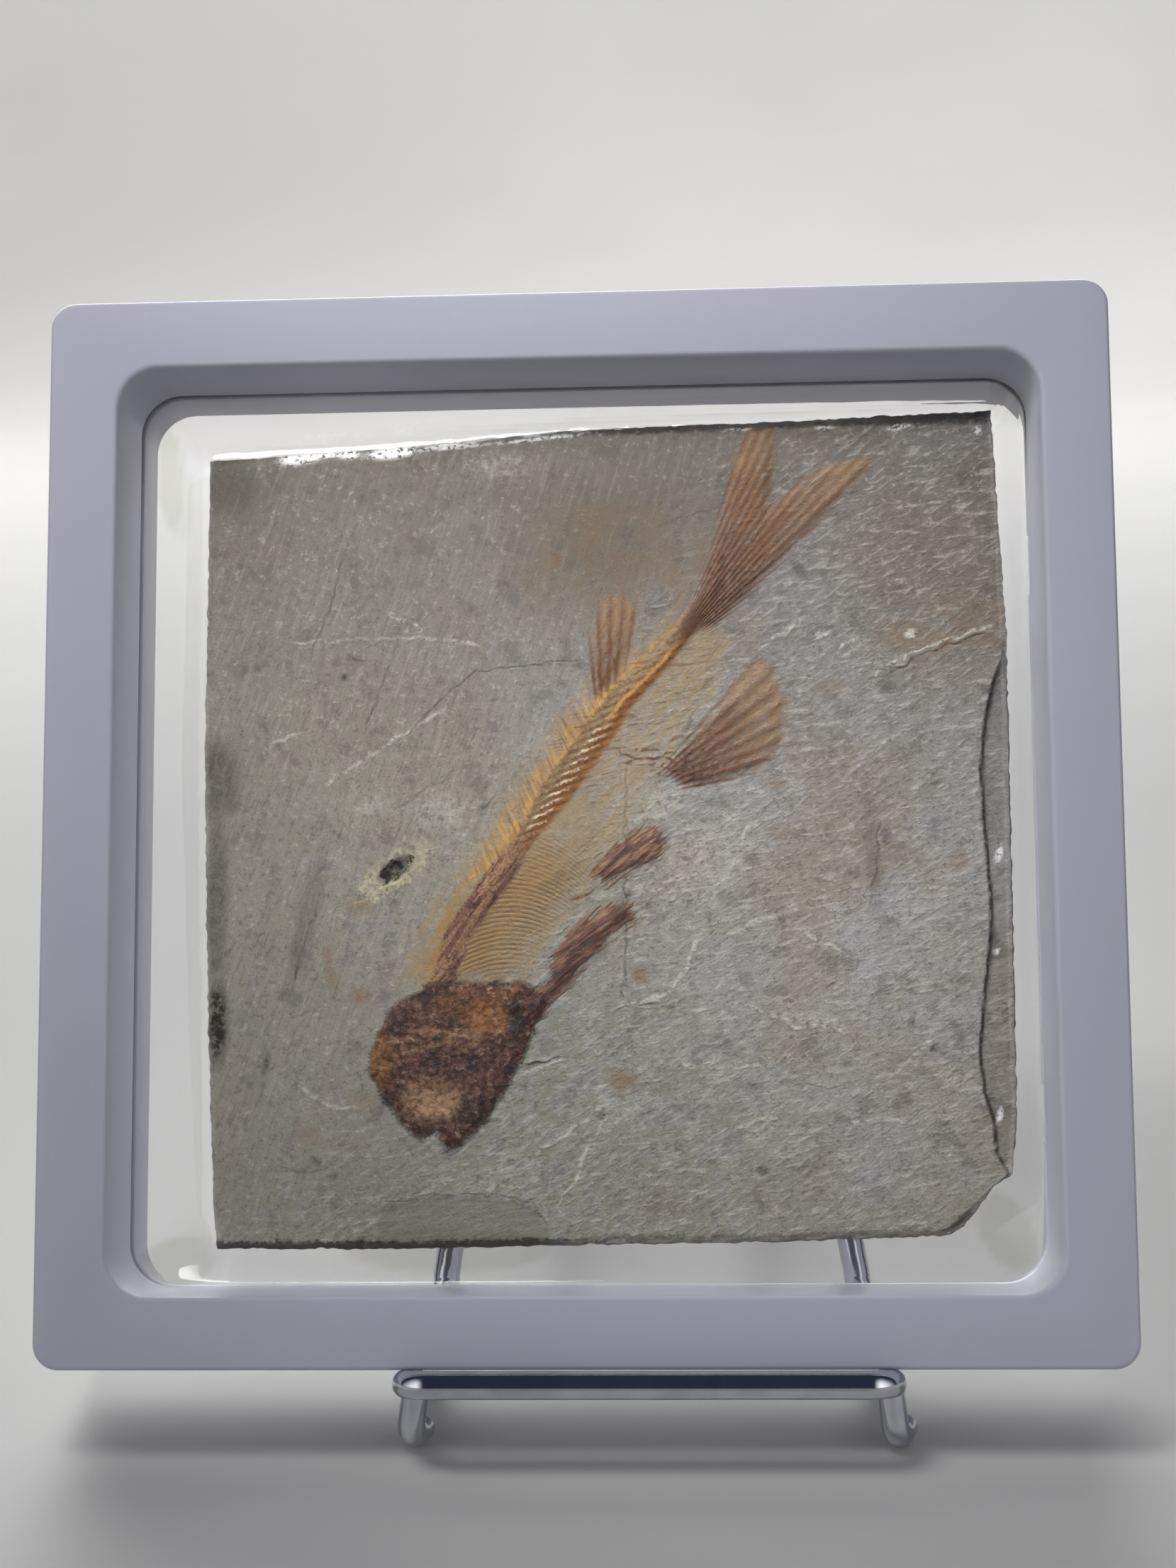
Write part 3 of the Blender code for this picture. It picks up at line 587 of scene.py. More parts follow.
def fishRelief(points):
    plan = fishPlan
    across, place = fromLine(points, plan["spine"])
    distance, place = np.abs(across), place / plan["spineLength"]
    body = 0.28 * (1.0 - ramp(distance, 1.0, 7.0)) * (1.0 - 0.7 * place)
    spine = 0.42 * (1.0 - ramp(distance, 0.35, 1.7 - 0.7 * place))
    lumps = 0.16 * unevenness(points, 1.6, 4.0) + 0.07 * unevenness(points, 0.6, 9.0)
    skull = ramp(insideBy(points, plan["head"]), -0.2, 1.3) * (0.50 + lumps)
    eye = 0.48 * ramp(oval(points, *plan["orbit"]), -0.1, 0.6)
    cheek = 0.14 * ramp(oval(points, *plan["gillCover"]), 0.0, 0.5)
    heights = [spine, skull - eye - cheek]
    turned = points @ np.array([[0.35, 1.0], [-1.0, 0.35]])
    streaks = 0.10 * unevenness(turned * (0.25, 1.0), 0.5, 3.0)
    for name, height in plan["blades"].items():
        heights.append(ramp(insideBy(points, plan[name]), -0.2, 0.8) * (height + streaks))
    for name, (height, ray) in plan["rays"].items():
        turn, _ = fanOf(points, name)
        waves = height + ray * (0.5 + 0.5 * np.cos(turn))
        heights.append(ramp(insideBy(points, plan[name]), -0.2, 0.7) * waves)
    bones = np.maximum.reduce(heights)
    return np.maximum(body, 0.0) * (1.0 - ramp(bones, 0.0, 0.3)) + bones


def slabEdges(points):
    # how far each point lies within the slab's top, bottom and left, and past its front layer
    x, z = points.T
    plan = slabPlan
    top, bottom = along(plan["top"], x) - z, z - along(plan["bottom"], x)
    return top, bottom, x - along(plan["left"], z), x - along(plan["layer"], z)


def stoneRelief(points):
    plan = slabPlan
    height = sum(depth * unevenness(points, size, seed) for depth, size, seed in plan["swells"])
    height -= plan["flakeDepth"] * ramp(insideBy(points, plan["flake"]), -0.15, 0.25)
    pit = oval(points, *plan["pit"])
    ragged = pit + 0.7 * unevenness(points, 0.9, 7.0)
    height += plan["pitRim"] * ramp(pit, -0.9, -0.3) * (1.0 - ramp(pit, -0.3, 0.1))
    height -= plan["pitDepth"] * ramp(ragged, -0.1, 0.6)
    # worn away along three of its edges, and stepped down past its front layer on the right
    top, bottom, left, layer = slabEdges(points)
    ragged = 0.5 * unevenness(points, 1.8, 12.0)
    height -= (0.45 + 0.35 * ramp(points[:, 0], 0.0, 8.0)) * (1.0 - ramp(top + ragged, 0.1, 1.2))
    height -= 0.30 * (1.0 - ramp(bottom + ragged, 0.0, 0.7))
    height -= 0.35 * (1.0 - ramp(left + ragged, 0.0, 0.8))
    wide = along(plan["right"], points[:, 1]) - along(plan["layer"], points[:, 1])
    step = ramp(layer + 0.15 * ragged, 0.02, 0.18) * ramp(wide, 0.5, 1.1)
    height -= plan["layerDepth"] * step
    return height + fishRelief(points)


def ovalAmount(points, ovals):
    # how strong the strongest of some soft-edged ovals is at each point
    amount = np.zeros(len(points))
    for x, z, halfWidth, halfHeight, turn, strength in ovals:
        reach = oval(points, (x, z), (halfWidth, halfHeight), math.radians(turn))
        amount = np.maximum(amount, strength * ramp(reach, -0.6, 0.5))
    return amount


def lineAmounts(points, lines):
    # signed distance to the nearest line, and how strong that line is there
    nearest, amount = np.ones(len(points)), np.zeros(len(points))
    wander = 0.5 * unevenness(points, 1.5, 51.0)
    for line, strength in lines:
        by, run = fromLine(points, line)
        by = by + wander
        ends = ramp(run, 0.0, 1.2) * ramp(run, run.max(), run.max() - 1.2)
        strong = strength * ends * ramp(np.abs(by), 0.9, 0.5)
        nearest = np.where(strong > amount, by, nearest)
        amount = np.maximum(strong, amount)
    return nearest, amount


def markSlab(mesh):
    # everything that the stone's finish reads, in millimetres, kept on the mesh before it leans
    place = readPoints(mesh) / mm
    points = place[:, [0, 2]]
    front = place[:, 1] < slabPlan["frontUntil"]
    far = np.where(front, 0.0, slabPlan["farAway"])
    fish = fishPlan
    across, length = fromLine(points, fish["spine"])
    fins = ("ventFin", "backFin", "tailFin")
    insides = np.stack([insideBy(points, fish[name]) for name in fins])
    fans = [fanOf(points, name) for name in fins]
    nearest = insides.argmax(axis=0)
    turn, reach = (np.choose(nearest, [fan[part] for fan in fans]) for part in (0, 1))
    head, body, shoulder, belly = (
        insideBy(points, fish[name]) for name in ("head", "body", "shoulderFin", "bellyFin")
    )
    flake = insideBy(points, slabPlan["flake"])
    pit = oval(points, *slabPlan["pit"])
    stain = {name: ovalAmount(points, ovals) * front for name, ovals in stoneMarks.items()}
    skull = {name: ovalAmount(points, ovals) for name, ovals in skullMarks.items()}
    glints = ovalAmount(points, glintMarks) * front
    paleBy, paleAmount = lineAmounts(points, paleLines)
    darkBy, darkAmount = lineAmounts(points, darkLines)
    boneBy, boneAmount = lineAmounts(points, boneLines)
    top, bottom, _, layer = slabEdges(points)
    columns = {
        "stonePlace": [place[:, 0], place[:, 2], place[:, 1]],
        "spinePlace": [length, across + far, body + far],
        "bones": [head + far, np.maximum(shoulder, belly) + far, insides.max(axis=0) + far],
        "finFan": [turn, reach, np.zeros(len(points))],
        "stains": [stain["ochre"], stain["dark"], stain["pale"]],
        "skullTones": [skull["ochre"], skull["dark"], skull["pale"]],
        "stoneEdges": [layer, top - far, bottom - far],
        "scars": [paleBy, paleAmount * front, darkBy],
        "hollows": [flake + far, darkAmount * front, glints],
        "pitReach": [pit + far, boneBy, boneAmount * front],
    }
    for name, values in columns.items():
        made = mesh.attributes.new(name, "FLOAT_VECTOR", "POINT")
        made.data.foreach_set("vector", np.stack(values, axis=1).astype(np.float32).ravel())


def buildSlab(finish):
    plan = slabPlan
    slab = addGrid(plan["columns"], plan["rows"])
    shares = (readPoints(slab.data) + 1.0) / 2.0
    bottom, top = plan["right"][0][0], plan["right"][-1][0]

    def chips(run, deep, size, seed):
        # small bites out of an edge that never stand out from it
        return deep * np.abs(unevenness(np.stack([run, run * 0.0], 1), size, seed))

    def nextRing(move):
        bpy.ops.mesh.extrude_edges_move()
        leaveMesh()
        points = readPoints(slab.data)
        ring = chosenPoints(slab.data)
        points[ring] = move(points[ring] / mm) * mm
        writePoints(slab.data, points)
        editMesh()

    level = bottom + shares[:, 1] * (top - bottom)
    left = along(plan["left"], level) + chips(level, plan["nibble"], 1.3, 20.0)
    right = along(plan["right"], level) - chips(level, plan["nibble"], 1.1, 24.0)
    x = left + shares[:, 0] * (right - left)
    chip = chips(x, plan["chip"], 1.2, 30.0)
    low, high = along(plan["bottom"], x) + chip, along(plan["top"], x) - chip
    flat = np.stack([x, low + shares[:, 1] * (high - low)], 1)
    height = stoneRelief(flat)
    writePoints(slab.data, np.stack([flat[:, 0], -(plan["half"] + height), flat[:, 1]], 1) * mm)

    # the broken sides, ring by ring, in uneven thin layers
    editMesh()
    bpy.ops.mesh.select_mode(type="EDGE")
    pickAll("DESELECT")
    pickLoops(wire=False)
    for depth, outset in plan["sideRings"]:
        def stepOut(rim):
            outward = rim[:, [0, 2]] / np.linalg.norm(rim[:, [0, 2]], axis=1)[:, None]
            rough = plan["sideRough"] * unevenness(rim[:, [0, 2]] + depth * 7.0, 1.1, depth)
            rim[:, [0, 2]] += outward * (outset + rough)[:, None]
            rim[:, 1] = depth + plan["sideWave"] * unevenness(rim[:, [0, 2]], 2.5, depth + 3.0)
            return rim
        nextRing(stepOut)

    # the split back closes inward to one point
    for left in range(plan["backRings"], 1, -1):
        def stepIn(rim):
            rim[:, [0, 2]] *= (left - 1) / left
            swell = plan["backSwell"] * unevenness(rim[:, [0, 2]], 9.0, 41.0)
            rim[:, 1] = plan["half"] - plan["backSunk"] + swell
            return rim
        nextRing(stepIn)
    bpy.ops.mesh.merge(type="CENTER")
    faceOutward()
    leaveMesh()
    smooth(55.0)
    markSlab(slab.data)
    return settle(slab, "fossilSlab", finish, ["slab"], leaned=True)


# tones of stone, then of bone; rim is painted shade, glint a painted highlight, steel a painted sheen
# shade serves both as the stone's darker grain and as painted shade towards the slab's top
slabTones = {
    "warm": tone(158, 150, 137), "cool": tone(167, 166, 164), "green": tone(146, 146, 131),
    "shade": tone(98, 93, 86), "light": tone(216, 212, 206), "flake": tone(136, 135, 121),
    "side": tone(112, 106, 98), "rim": tone(40, 36, 32), "mould": tone(50, 47, 37),
    "stain": tone(142, 110, 74), "chalk": tone(214, 210, 200), "crust": tone(198, 188, 158),
    "pit": tone(30, 32, 24), "glint": tone(252, 252, 252),
    "ochre": tone(168, 130, 80), "paleOchre": tone(172, 149, 110), "orange": tone(124, 84, 50),
    "brown": tone(106, 68, 42), "dark": tone(72, 45, 34), "red": tone(116, 79, 66),
    "cream": tone(236, 220, 190), "moss": tone(140, 120, 84), "pink": tone(190, 152, 132),
    "gold": tone(208, 164, 92), "honey": tone(158, 108, 56), "tan": tone(178, 142, 106),
    "black": tone(44, 31, 30), "steel": tone(78, 80, 92),
}


def makeStoneFinish():
    finish, tree, shader = newFinish("split limestone with bone")

    def attribute(name):
        return addNode(tree, "Attribute", attribute_name=name).outputs["Vector"]

    def parts(name):
        return addNode(tree, "SeparateXYZ", {0: attribute(name)}).outputs

    place = attribute("stonePlace")
    x, z, depth = parts("stonePlace")
    length, across, bodyIn = parts("spinePlace")
    headIn, bladeIn, finIn = parts("bones")
    rayTurn, reach, _ = parts("finFan")
    ochreStain, darkStain, paleStain = parts("stains")
    skullOchre, skullDark, skullPale = parts("skullTones")
    layerPast, topIn, bottomIn = parts("stoneEdges")
    paleBy, paleLine, darkBy = parts("scars")
    flakeIn, darkLine, glint = parts("hollows")
    pitReach, boneBy, boneLine = parts("pitReach")

    def times(*values):
        product = values[0]
        for value in values[1:]:
            product = calc(tree, "MULTIPLY", product, value)
        return product

    def plus(*values):
        total = values[0]
        for value in values[1:]:
            total = calc(tree, "ADD", total, value)
        return total

    def minus(first, second):
        return calc(tree, "SUBTRACT", first, second)

    def off(value):
        # noise measured from its middle
        return minus(value, 0.5)

    def size(value):
        return calc(tree, "ABSOLUTE", value)

    def band(value, low, high, start=0.0, end=1.0):
        return soften(tree, value, low, high, start, end)

    def grain(scale, detail=3.0, roughness=0.55):
        return grainOf(tree, place, scale, detail, roughness)

    def streaks(angle, lengthwise, crosswise, detail=3.0):
        # noise drawn out along one direction of the slab
        turn = {"Vector": place, "Angle": -math.radians(angle)}
        turned = addNode(tree, "VectorRotate", turn, rotation_type="Z_AXIS").outputs[0]
        stretch = {0: turned, 1: (lengthwise, crosswise, 1.0)}
        drawn = addNode(tree, "VectorMath", stretch, operation="MULTIPLY").outputs[0]
        return grainOf(tree, drawn, 1.0, detail)

    def blend(under, over, amount):
        under, over = (slabTones[part] if isinstance(part, str) else part for part in (under, over))
        return paint(tree, under, over, amount)

    def lay(over, *amounts):
        # one more tone over the colour so far, as strong as its amounts multiplied
        nonlocal colour
        colour = blend(colour, over, times(*amounts))

    big, mid, small = grain(0.055), grain(0.32, 4.0), grain(1.5, 4.0, 0.7)
    grit = grain(4.2, 2.0, 0.6)
    steep, hatch = streaks(73.0, 0.16, 1.5, 4.0), streaks(67.0, 0.3, 3.6, 2.0)
    rising, level = streaks(36.0, 0.42, 1.9, 4.0), streaks(8.0, 0.35, 1.6)
    leftness = band(plus(times(x, -0.8), times(z, -0.55), times(off(mid), 24.0)), -14.0, 20.0)
    upperLeft = band(plus(times(x, -0.8), times(z, 0.5), times(off(mid), 20.0)), -6.0, 14.0)
    rightness = minus(1.0, upperLeft)

    # the plain stone, with painted shade towards its top
    colour = blend("cool", "warm", band(big, 0.4, 0.6))
    lay("green", leftness, band(mid, 0.36, 0.6, 0.35, 1.0))
    lay("warm", upperLeft, 0.5)
    lay("shade", band(mid, 0.47, 0.34, 0.0, 0.42))
    # painted shade: darker towards the top of the slab, where the top rail shades it
    lay("shade", band(plus(z, times(x, 0.15), times(mid, 9.0)), -6.0, 48.0, 0.0, 0.66))
    for over, where, value, low, high, strength in (
        ("shade", upperLeft, steep, 0.49, 0.36, 0.16), ("light", upperLeft, steep, 0.55, 0.68, 0.1),
        ("shade", upperLeft, hatch, 0.47, 0.34, 0.24), ("shade", rightness, rising, 0.48, 0.36, 0.18),
        ("light", rightness, rising, 0.54, 0.67, 0.26), ("light", rightness, level, 0.56, 0.68, 0.34),
    ):
        lay(over, where, band(value, low, high, 0.0, strength))
    for over, value, low, high, strength in (
        ("light", small, 0.55, 0.7, 0.3), ("shade", small, 0.46, 0.33, 0.48),
        ("shade", grit, 0.41, 0.28, 0.5),
    ):
        lay(over, band(value, low, high, 0.0, strength))
    lay("flake", band(plus(flakeIn, times(off(small), 1.6)), -0.1, 0.5), 0.72)

    # stains, pale ridges, dark cracks and specks
    lay("stain", ochreStain, band(mid, 0.3, 0.62, 0.25, 0.95), band(small, 0.3, 0.6, 0.5, 1.0))
    lay("chalk", paleStain, band(small, 0.36, 0.6))
    lay("mould", darkStain, band(small, 0.34, 0.58, 0.25, 1.0))
    broken = band(small, 0.4, 0.56, 0.15, 1.0)
    ridge = times(band(size(paleBy), 0.32, 0.04), paleLine, broken)
    crack = times(band(size(darkBy), 0.2, 0.03), darkLine, broken)
    lay("chalk", ridge, 0.85)
    lay("mould", crack, 0.85)
    pitEdge = plus(pitReach, times(off(small), 2.2), times(off(mid), 1.2))
    pitRim = times(band(pitEdge, -1.5, -0.7), band(plus(z, times(x, -0.35)), 3.6, 1.2, 0.45, 1.0))
    lay("crust", pitRim, band(small, 0.4, 0.58, 0.2, 0.9))
    pit = band(pitEdge, -0.15, 0.25)
    lay("pit", pit, band(plus(small, times(x, -0.05)), 1.5, 1.34, 0.95, 0.45))

    # the rim: painted shade along the worn top and bottom edges and the step on the right, then the
    # broken sides
    ledge = times(band(plus(layerPast, times(off(small), 0.8)), 0.0, 0.2), band(z, 20.0, 17.0))
    lay("side", ledge, 0.22)
    # painted shade along the step down to the lower layer
    stepShade = times(band(size(layerPast), 0.35, 0.05), band(z, 20.0, 17.0), band(bottomIn, 0.0, 6.0))
    lay("rim", stepShade, band(small, 0.36, 0.54, 0.2, 0.8))
    # painted shade on the worn top edge, wider on the right
    topEdgeShade = plus(topIn, times(off(small), 1.4), band(x, 22.0, 40.0, 0.0, -0.7))
    lay("rim", band(topEdgeShade, 1.0, 0.3), band(x, -8.0, 8.0, 0.15, 0.72))
    # painted shade on the worn bottom edge, on the left
    lowEdgeShade = plus(bottomIn, times(off(small), 1.6))
    lay("rim", band(lowEdgeShade, 0.9, 0.4), band(x, 2.0, -6.0, 0.15, 0.85))
    side = blend("side", "warm", band(streaks(0.0, 0.05, 0.05), 0.35, 0.65))
    lay(side, band(depth, -2.6, -1.6), 0.7)

    # edges of the bone wander a little
    wander = times(off(grain(0.9, 4.0, 0.65)), 2.6)
    fine = times(off(grain(3.0, 3.0, 0.6)), 1.6)
    acrossWander = plus(across, times(fine, 0.45), times(wander, 0.14))

    # flesh stain round the skeleton, warmest along the back
    fibres = streaks(54.0, 0.22, 2.0, 4.0)
    inBody = band(plus(bodyIn, wander, times(off(fibres), 6.0)), -0.9, 2.4)
    lay("paleOchre", inBody, band(fibres, 0.36, 0.64, 0.28, 0.72))
    halo = times(
        inBody, band(across, -0.4, 0.5), band(size(across), 5.4, 1.6),
        band(fibres, 0.36, 0.6, 0.35, 1.0),
    )
    lay("ochre", halo, band(mid, 0.36, 0.56, 0.35, 0.85))

    # a gold thread along the back, with small spines standing on it
    thread = times(
        band(size(plus(across, -1.75, times(wander, 0.3))), 0.32, 0.06), inBody,
        band(small, 0.42, 0.56), band(length, 12.0, 18.0),
    )
    lay("gold", thread, 0.7)
    spikes = streaks(112.0, 0.28, 2.6, 3.0)
    spikeZone = times(
        band(across, 0.3, 1.0), band(across, 4.6, 2.0), band(length, 8.0, 14.0),
        band(length, 40.0, 32.0),
    )
    lay("gold", spikeZone, band(spikes, 0.5, 0.62, 0.0, 0.75))
    lay("brown", spikeZone, band(spikes, 0.44, 0.34, 0.0, 0.45))

    # ribs: fine bowed lines between the spine and the belly
    bow = times(calc(tree, "POWER", size(plus(x, 7.5)), 2.0), 0.055)
    ribWave = calc(tree, "SINE", times(plus(z, bow, times(wander, 0.1)), 13.0))
    ribZone = times(
        band(across, -0.9, -1.6), band(across, -9.5, -5.0), band(length, 1.0, 3.0),
        band(length, 22.0, 15.0), inBody,
    )
    lay("ochre", ribZone, band(across, -7.5, -2.0, 0.15, 0.72), band(small, 0.3, 0.6, 0.6, 1.0))
    ribLines = times(ribZone, band(ribWave, 0.1, 0.85), band(mid, 0.36, 0.56, 0.12, 0.62))
    lay("brown", ribLines)

    # fine rays over and under the rear of the backbone
    sideRays = streaks(10.0, 0.35, 2.6)
    rearZone = times(
        band(length, 23.0, 27.0), band(length, 50.0, 42.0), inBody, band(size(across), 7.5, 3.0),
    )
    lay("brown", rearZone, band(sideRays, 0.48, 0.34, 0.0, 0.5))

    # fins: rays that fan out, closer and darker at the root, frayed at the edge
    rayWave = calc(tree, "COSINE", plus(rayTurn, times(fine, 1.3), times(wander, 0.8)))
    finAmount = band(plus(finIn, times(wander, 0.35), times(rayWave, 0.25), 0.35), -0.55, 0.75)
    outer = band(plus(reach, times(off(mid), 0.8)), 0.7, 1.15, 0.0, 0.75)
    fading = band(reach, 0.6, 1.1, 1.0, 0.75)
    lay(blend("orange", "ochre", outer), finAmount, band(fibres, 0.38, 0.6, 0.62, 0.95), fading, 0.9)
    rayDark = times(
        band(rayWave, 0.0, 0.8), band(reach, 0.35, 1.1, 0.9, 0.42),
        band(small, 0.36, 0.56, 0.45, 1.0),
    )
    lay("brown", finAmount, rayDark)
    rayLight = times(band(rayWave, -0.6, -1.0), band(reach, 0.5, 0.9, 0.0, 0.16))
    lay("gold", finAmount, rayLight)
    finRoot = times(finAmount, band(plus(reach, times(off(small), 0.5)), 0.62, 0.36))
    lay(blend("dark", "red", band(small, 0.42, 0.6)), finRoot, 0.72)

    # thin loose bones
    lay("brown", times(band(size(boneBy), 0.24, 0.04), boneLine), band(small, 0.34, 0.54, 0.3, 0.9))

    # shoulder and belly fins: matted dark blades
    matted = streaks(38.0, 0.35, 2.2, 4.0)
    bladeAmount = band(plus(bladeIn, times(wander, 0.5), times(off(matted), 3.2), 0.4), -0.3, 0.4)
    blade = blend("dark", "red", band(matted, 0.38, 0.54))
    blade = blend(blade, "tan", times(band(matted, 0.5, 0.64), band(x, -2.0, 7.0, 0.3, 0.8)))
    lay(blade, bladeAmount, 0.93)

    # backbone: solid and dark behind the skull, pale vertebrae midway, two strands at the rear
    halfWidth = plus(
        band(length, 13.0, 18.0, 1.35, 0.95), band(length, 18.0, 24.0, 0.0, 0.65),
        band(length, 30.0, 43.0, 0.0, -0.75),
    )
    inSpine = times(band(minus(halfWidth, size(acrossWander)), -0.3, 0.3), band(length, 51.0, 47.0))
    strokeLine = minus(times(z, 7.8), times(x, 3.1))
    strokeWave = calc(tree, "SINE", plus(strokeLine, times(fine, 2.6), times(wander, 1.4)))
    bead = band(strokeWave, 0.1, -0.7)
    beads = times(bead, 0.6)
    leftStrand = blend("moss", "brown", plus(beads, band(small, 0.52, 0.4, 0.0, 0.5)))
    rightStrand = blend("honey", "brown", plus(beads, band(small, 0.5, 0.38, 0.0, 0.4)))
    strands = blend(rightStrand, leftStrand, band(acrossWander, -0.25, 0.35))
    solid = blend("dark", "red", band(small, 0.38, 0.54))
    solid = blend(solid, "tan", times(band(fibres, 0.46, 0.6), band(grit, 0.36, 0.56, 0.1, 0.75)))
    spineTone = blend(solid, strands, band(plus(length, times(wander, 1.0)), 14.0, 20.0))
    between = times(
        band(size(plus(acrossWander, 0.1)), 0.3, 0.1), band(length, 31.0, 35.0),
        band(length, 45.0, 41.0),
    )
    spineTone = blend(spineTone, "gold", times(between, 0.7))
    midSpine = band(size(plus(acrossWander, 0.15)), 0.85, 0.35)
    strokes = times(
        band(strokeWave, 0.15, 0.8), band(length, 17.0, 21.0), band(length, 35.0, 29.0), midSpine,
        band(small, 0.4, 0.52, 0.15, 1.0),
    )
    spineTone = blend(spineTone, "cream", times(strokes, 0.85))
    spineTone = blend(spineTone, "dark", band(length, 42.0, 46.0, 0.0, 0.75))
    lay(spineTone, inSpine, 0.96)

    # skull: crushed dark bone with paler seams, an ochre cheek, a tan eye and a painted sheen
    seams, flecks = streaks(-8.0, 0.9, 1.7, 4.0), grain(1.1, 4.0, 0.72)
    headAmount = band(plus(headIn, times(wander, 0.55), times(fine, 0.5)), -0.35, 0.4)
    # painted sheen: steel-grey streaks painted over the dark marks on the skull's right, as a
    # reflection
    paintedSheen = times(skullDark, band(streaks(82.0, 0.5, 2.4), 0.54, 0.66), band(x, -9.0, -7.4))
    skull = blend("dark", "red", band(small, 0.44, 0.6))
    for over, amount in (
        ("black", band(mid, 0.5, 0.4, 0.0, 0.75)), ("tan", band(flecks, 0.52, 0.68, 0.0, 0.5)),
        ("pink", times(band(seams, 0.54, 0.66), band(flecks, 0.44, 0.6, 0.0, 0.75))),
        ("honey", times(skullOchre, band(small, 0.36, 0.62, 0.2, 0.85))),
        ("tan", times(skullPale, band(small, 0.38, 0.58, 0.3, 0.9))),
        ("black", times(skullDark, band(small, 0.38, 0.64, 0.95, 0.3))), ("steel", times(paintedSheen, 0.8)),
    ):
        skull = blend(skull, over, amount)
    lay(skull, headAmount, 0.97)
    # painted highlight: near-white glints painted into the colour where the film runs over the rim
    paintedGlint = times(glint, band(small, 0.42, 0.49))
    lay("glint", paintedGlint)

    # sheen of the bone against the dull stone
    bone = calc(
        tree, "MAXIMUM", calc(tree, "MAXIMUM", headAmount, bladeAmount),
        calc(tree, "MAXIMUM", inSpine, finAmount),
    )
    rough = plus(band(bone, 0.0, 1.0, 0.78, 0.48), times(off(grit), 0.25), times(paintedGlint, -0.4))

    # what stands out a little: grain, hatching, rays, ribs and vertebrae
    rise = plus(
        times(small, 0.15), times(grit, 0.08), times(steep, upperLeft, 0.06),
        times(hatch, upperLeft, 0.06), times(rising, rightness, 0.17),
        times(level, rightness, 0.16), times(ridge, 0.09), times(crack, -0.09),
        times(ribWave, ribZone, -0.02), times(strokes, 0.07), times(rayWave, finAmount, -0.03),
        times(flecks, headAmount, 0.4), times(mid, headAmount, 0.4),
        times(matted, bladeAmount, 0.3), times(pit, -0.25),
    )
    feed(shader, {
        "Base Color": colour, "Roughness": rough, "Specular IOR Level": 0.4,
        "Normal": bumpOf(tree, rise, 0.9, 1.0),
    })
    return finish


slab = buildSlab(makeStoneFinish())
print("slab:", len(slab.data.polygons), "faces")


# clear films: each runs from its clamped rim up over the edge of the stone

filmPlan = {
    "cells": 150, "rimHalf": 48.4, "rimRadius": 3.8, "waist": 47.0, "rim": 0.16, "overFront": 4.2,
    "overBack": 3.5, "thickness": 0.18, "crease": 0.45, "slack": 0.10, "cornerFrom": 42.0,
    "cornerTo": 28.0, "wrinkles": 26.0,
    # soft patches where the film clings: middle, radii, turn
    "clings": [
        ((-14.0, -43.6), (10.5, 2.3), 0.0), ((43.0, -42.0), (2.6, 4.4), 0.5),
        ((-42.6, -45.0), (4.6, 2.6), 0.3), ((-44.0, 38.0), (1.6, 6.0), 0.1),
        ((46.0, 44.6), (3.0, 1.8), -0.6),
    ],
}
stoneOutline = [
    (-39.4, 39.6), (-20.0, 40.6), (0.0, 42.1), (20.0, 42.5), (43.4, 43.2), (44.4, 20.0), (44.3, 0.0),
    (44.2, -30.0), (43.6, -36.2), (41.6, -37.4), (38.6, -41.4), (36.5, -42.5), (20.0, -43.0),
    (0.0, -43.2), (-20.0, -43.5), (-37.7, -43.4), (-38.2, -38.0), (-39.2, -8.0), (-39.6, 10.0),
]


def makeFilmFinish():
    finish, tree, shader = newFinish("clear stretched film")
    place = addNode(tree, "TexCoord").outputs["Object"]
    cling = addNode(tree, "Attribute", attribute_name="cling").outputs["Fac"]
    smear = grainOf(tree, place, 38.0)
    feed(shader, {
        "Transmission Weight": 1.0, "IOR": 1.46,
        "Base Color": paint(tree, tone(251, 251, 251), tone(243, 243, 241), cling),
        "Roughness": soften(tree, smear, 0.35, 0.75, 0.015, 0.05),
        "Normal": bumpOf(tree, grainOf(tree, place, 90.0, 2.0), 0.04, 0.2),
    })
    return finish


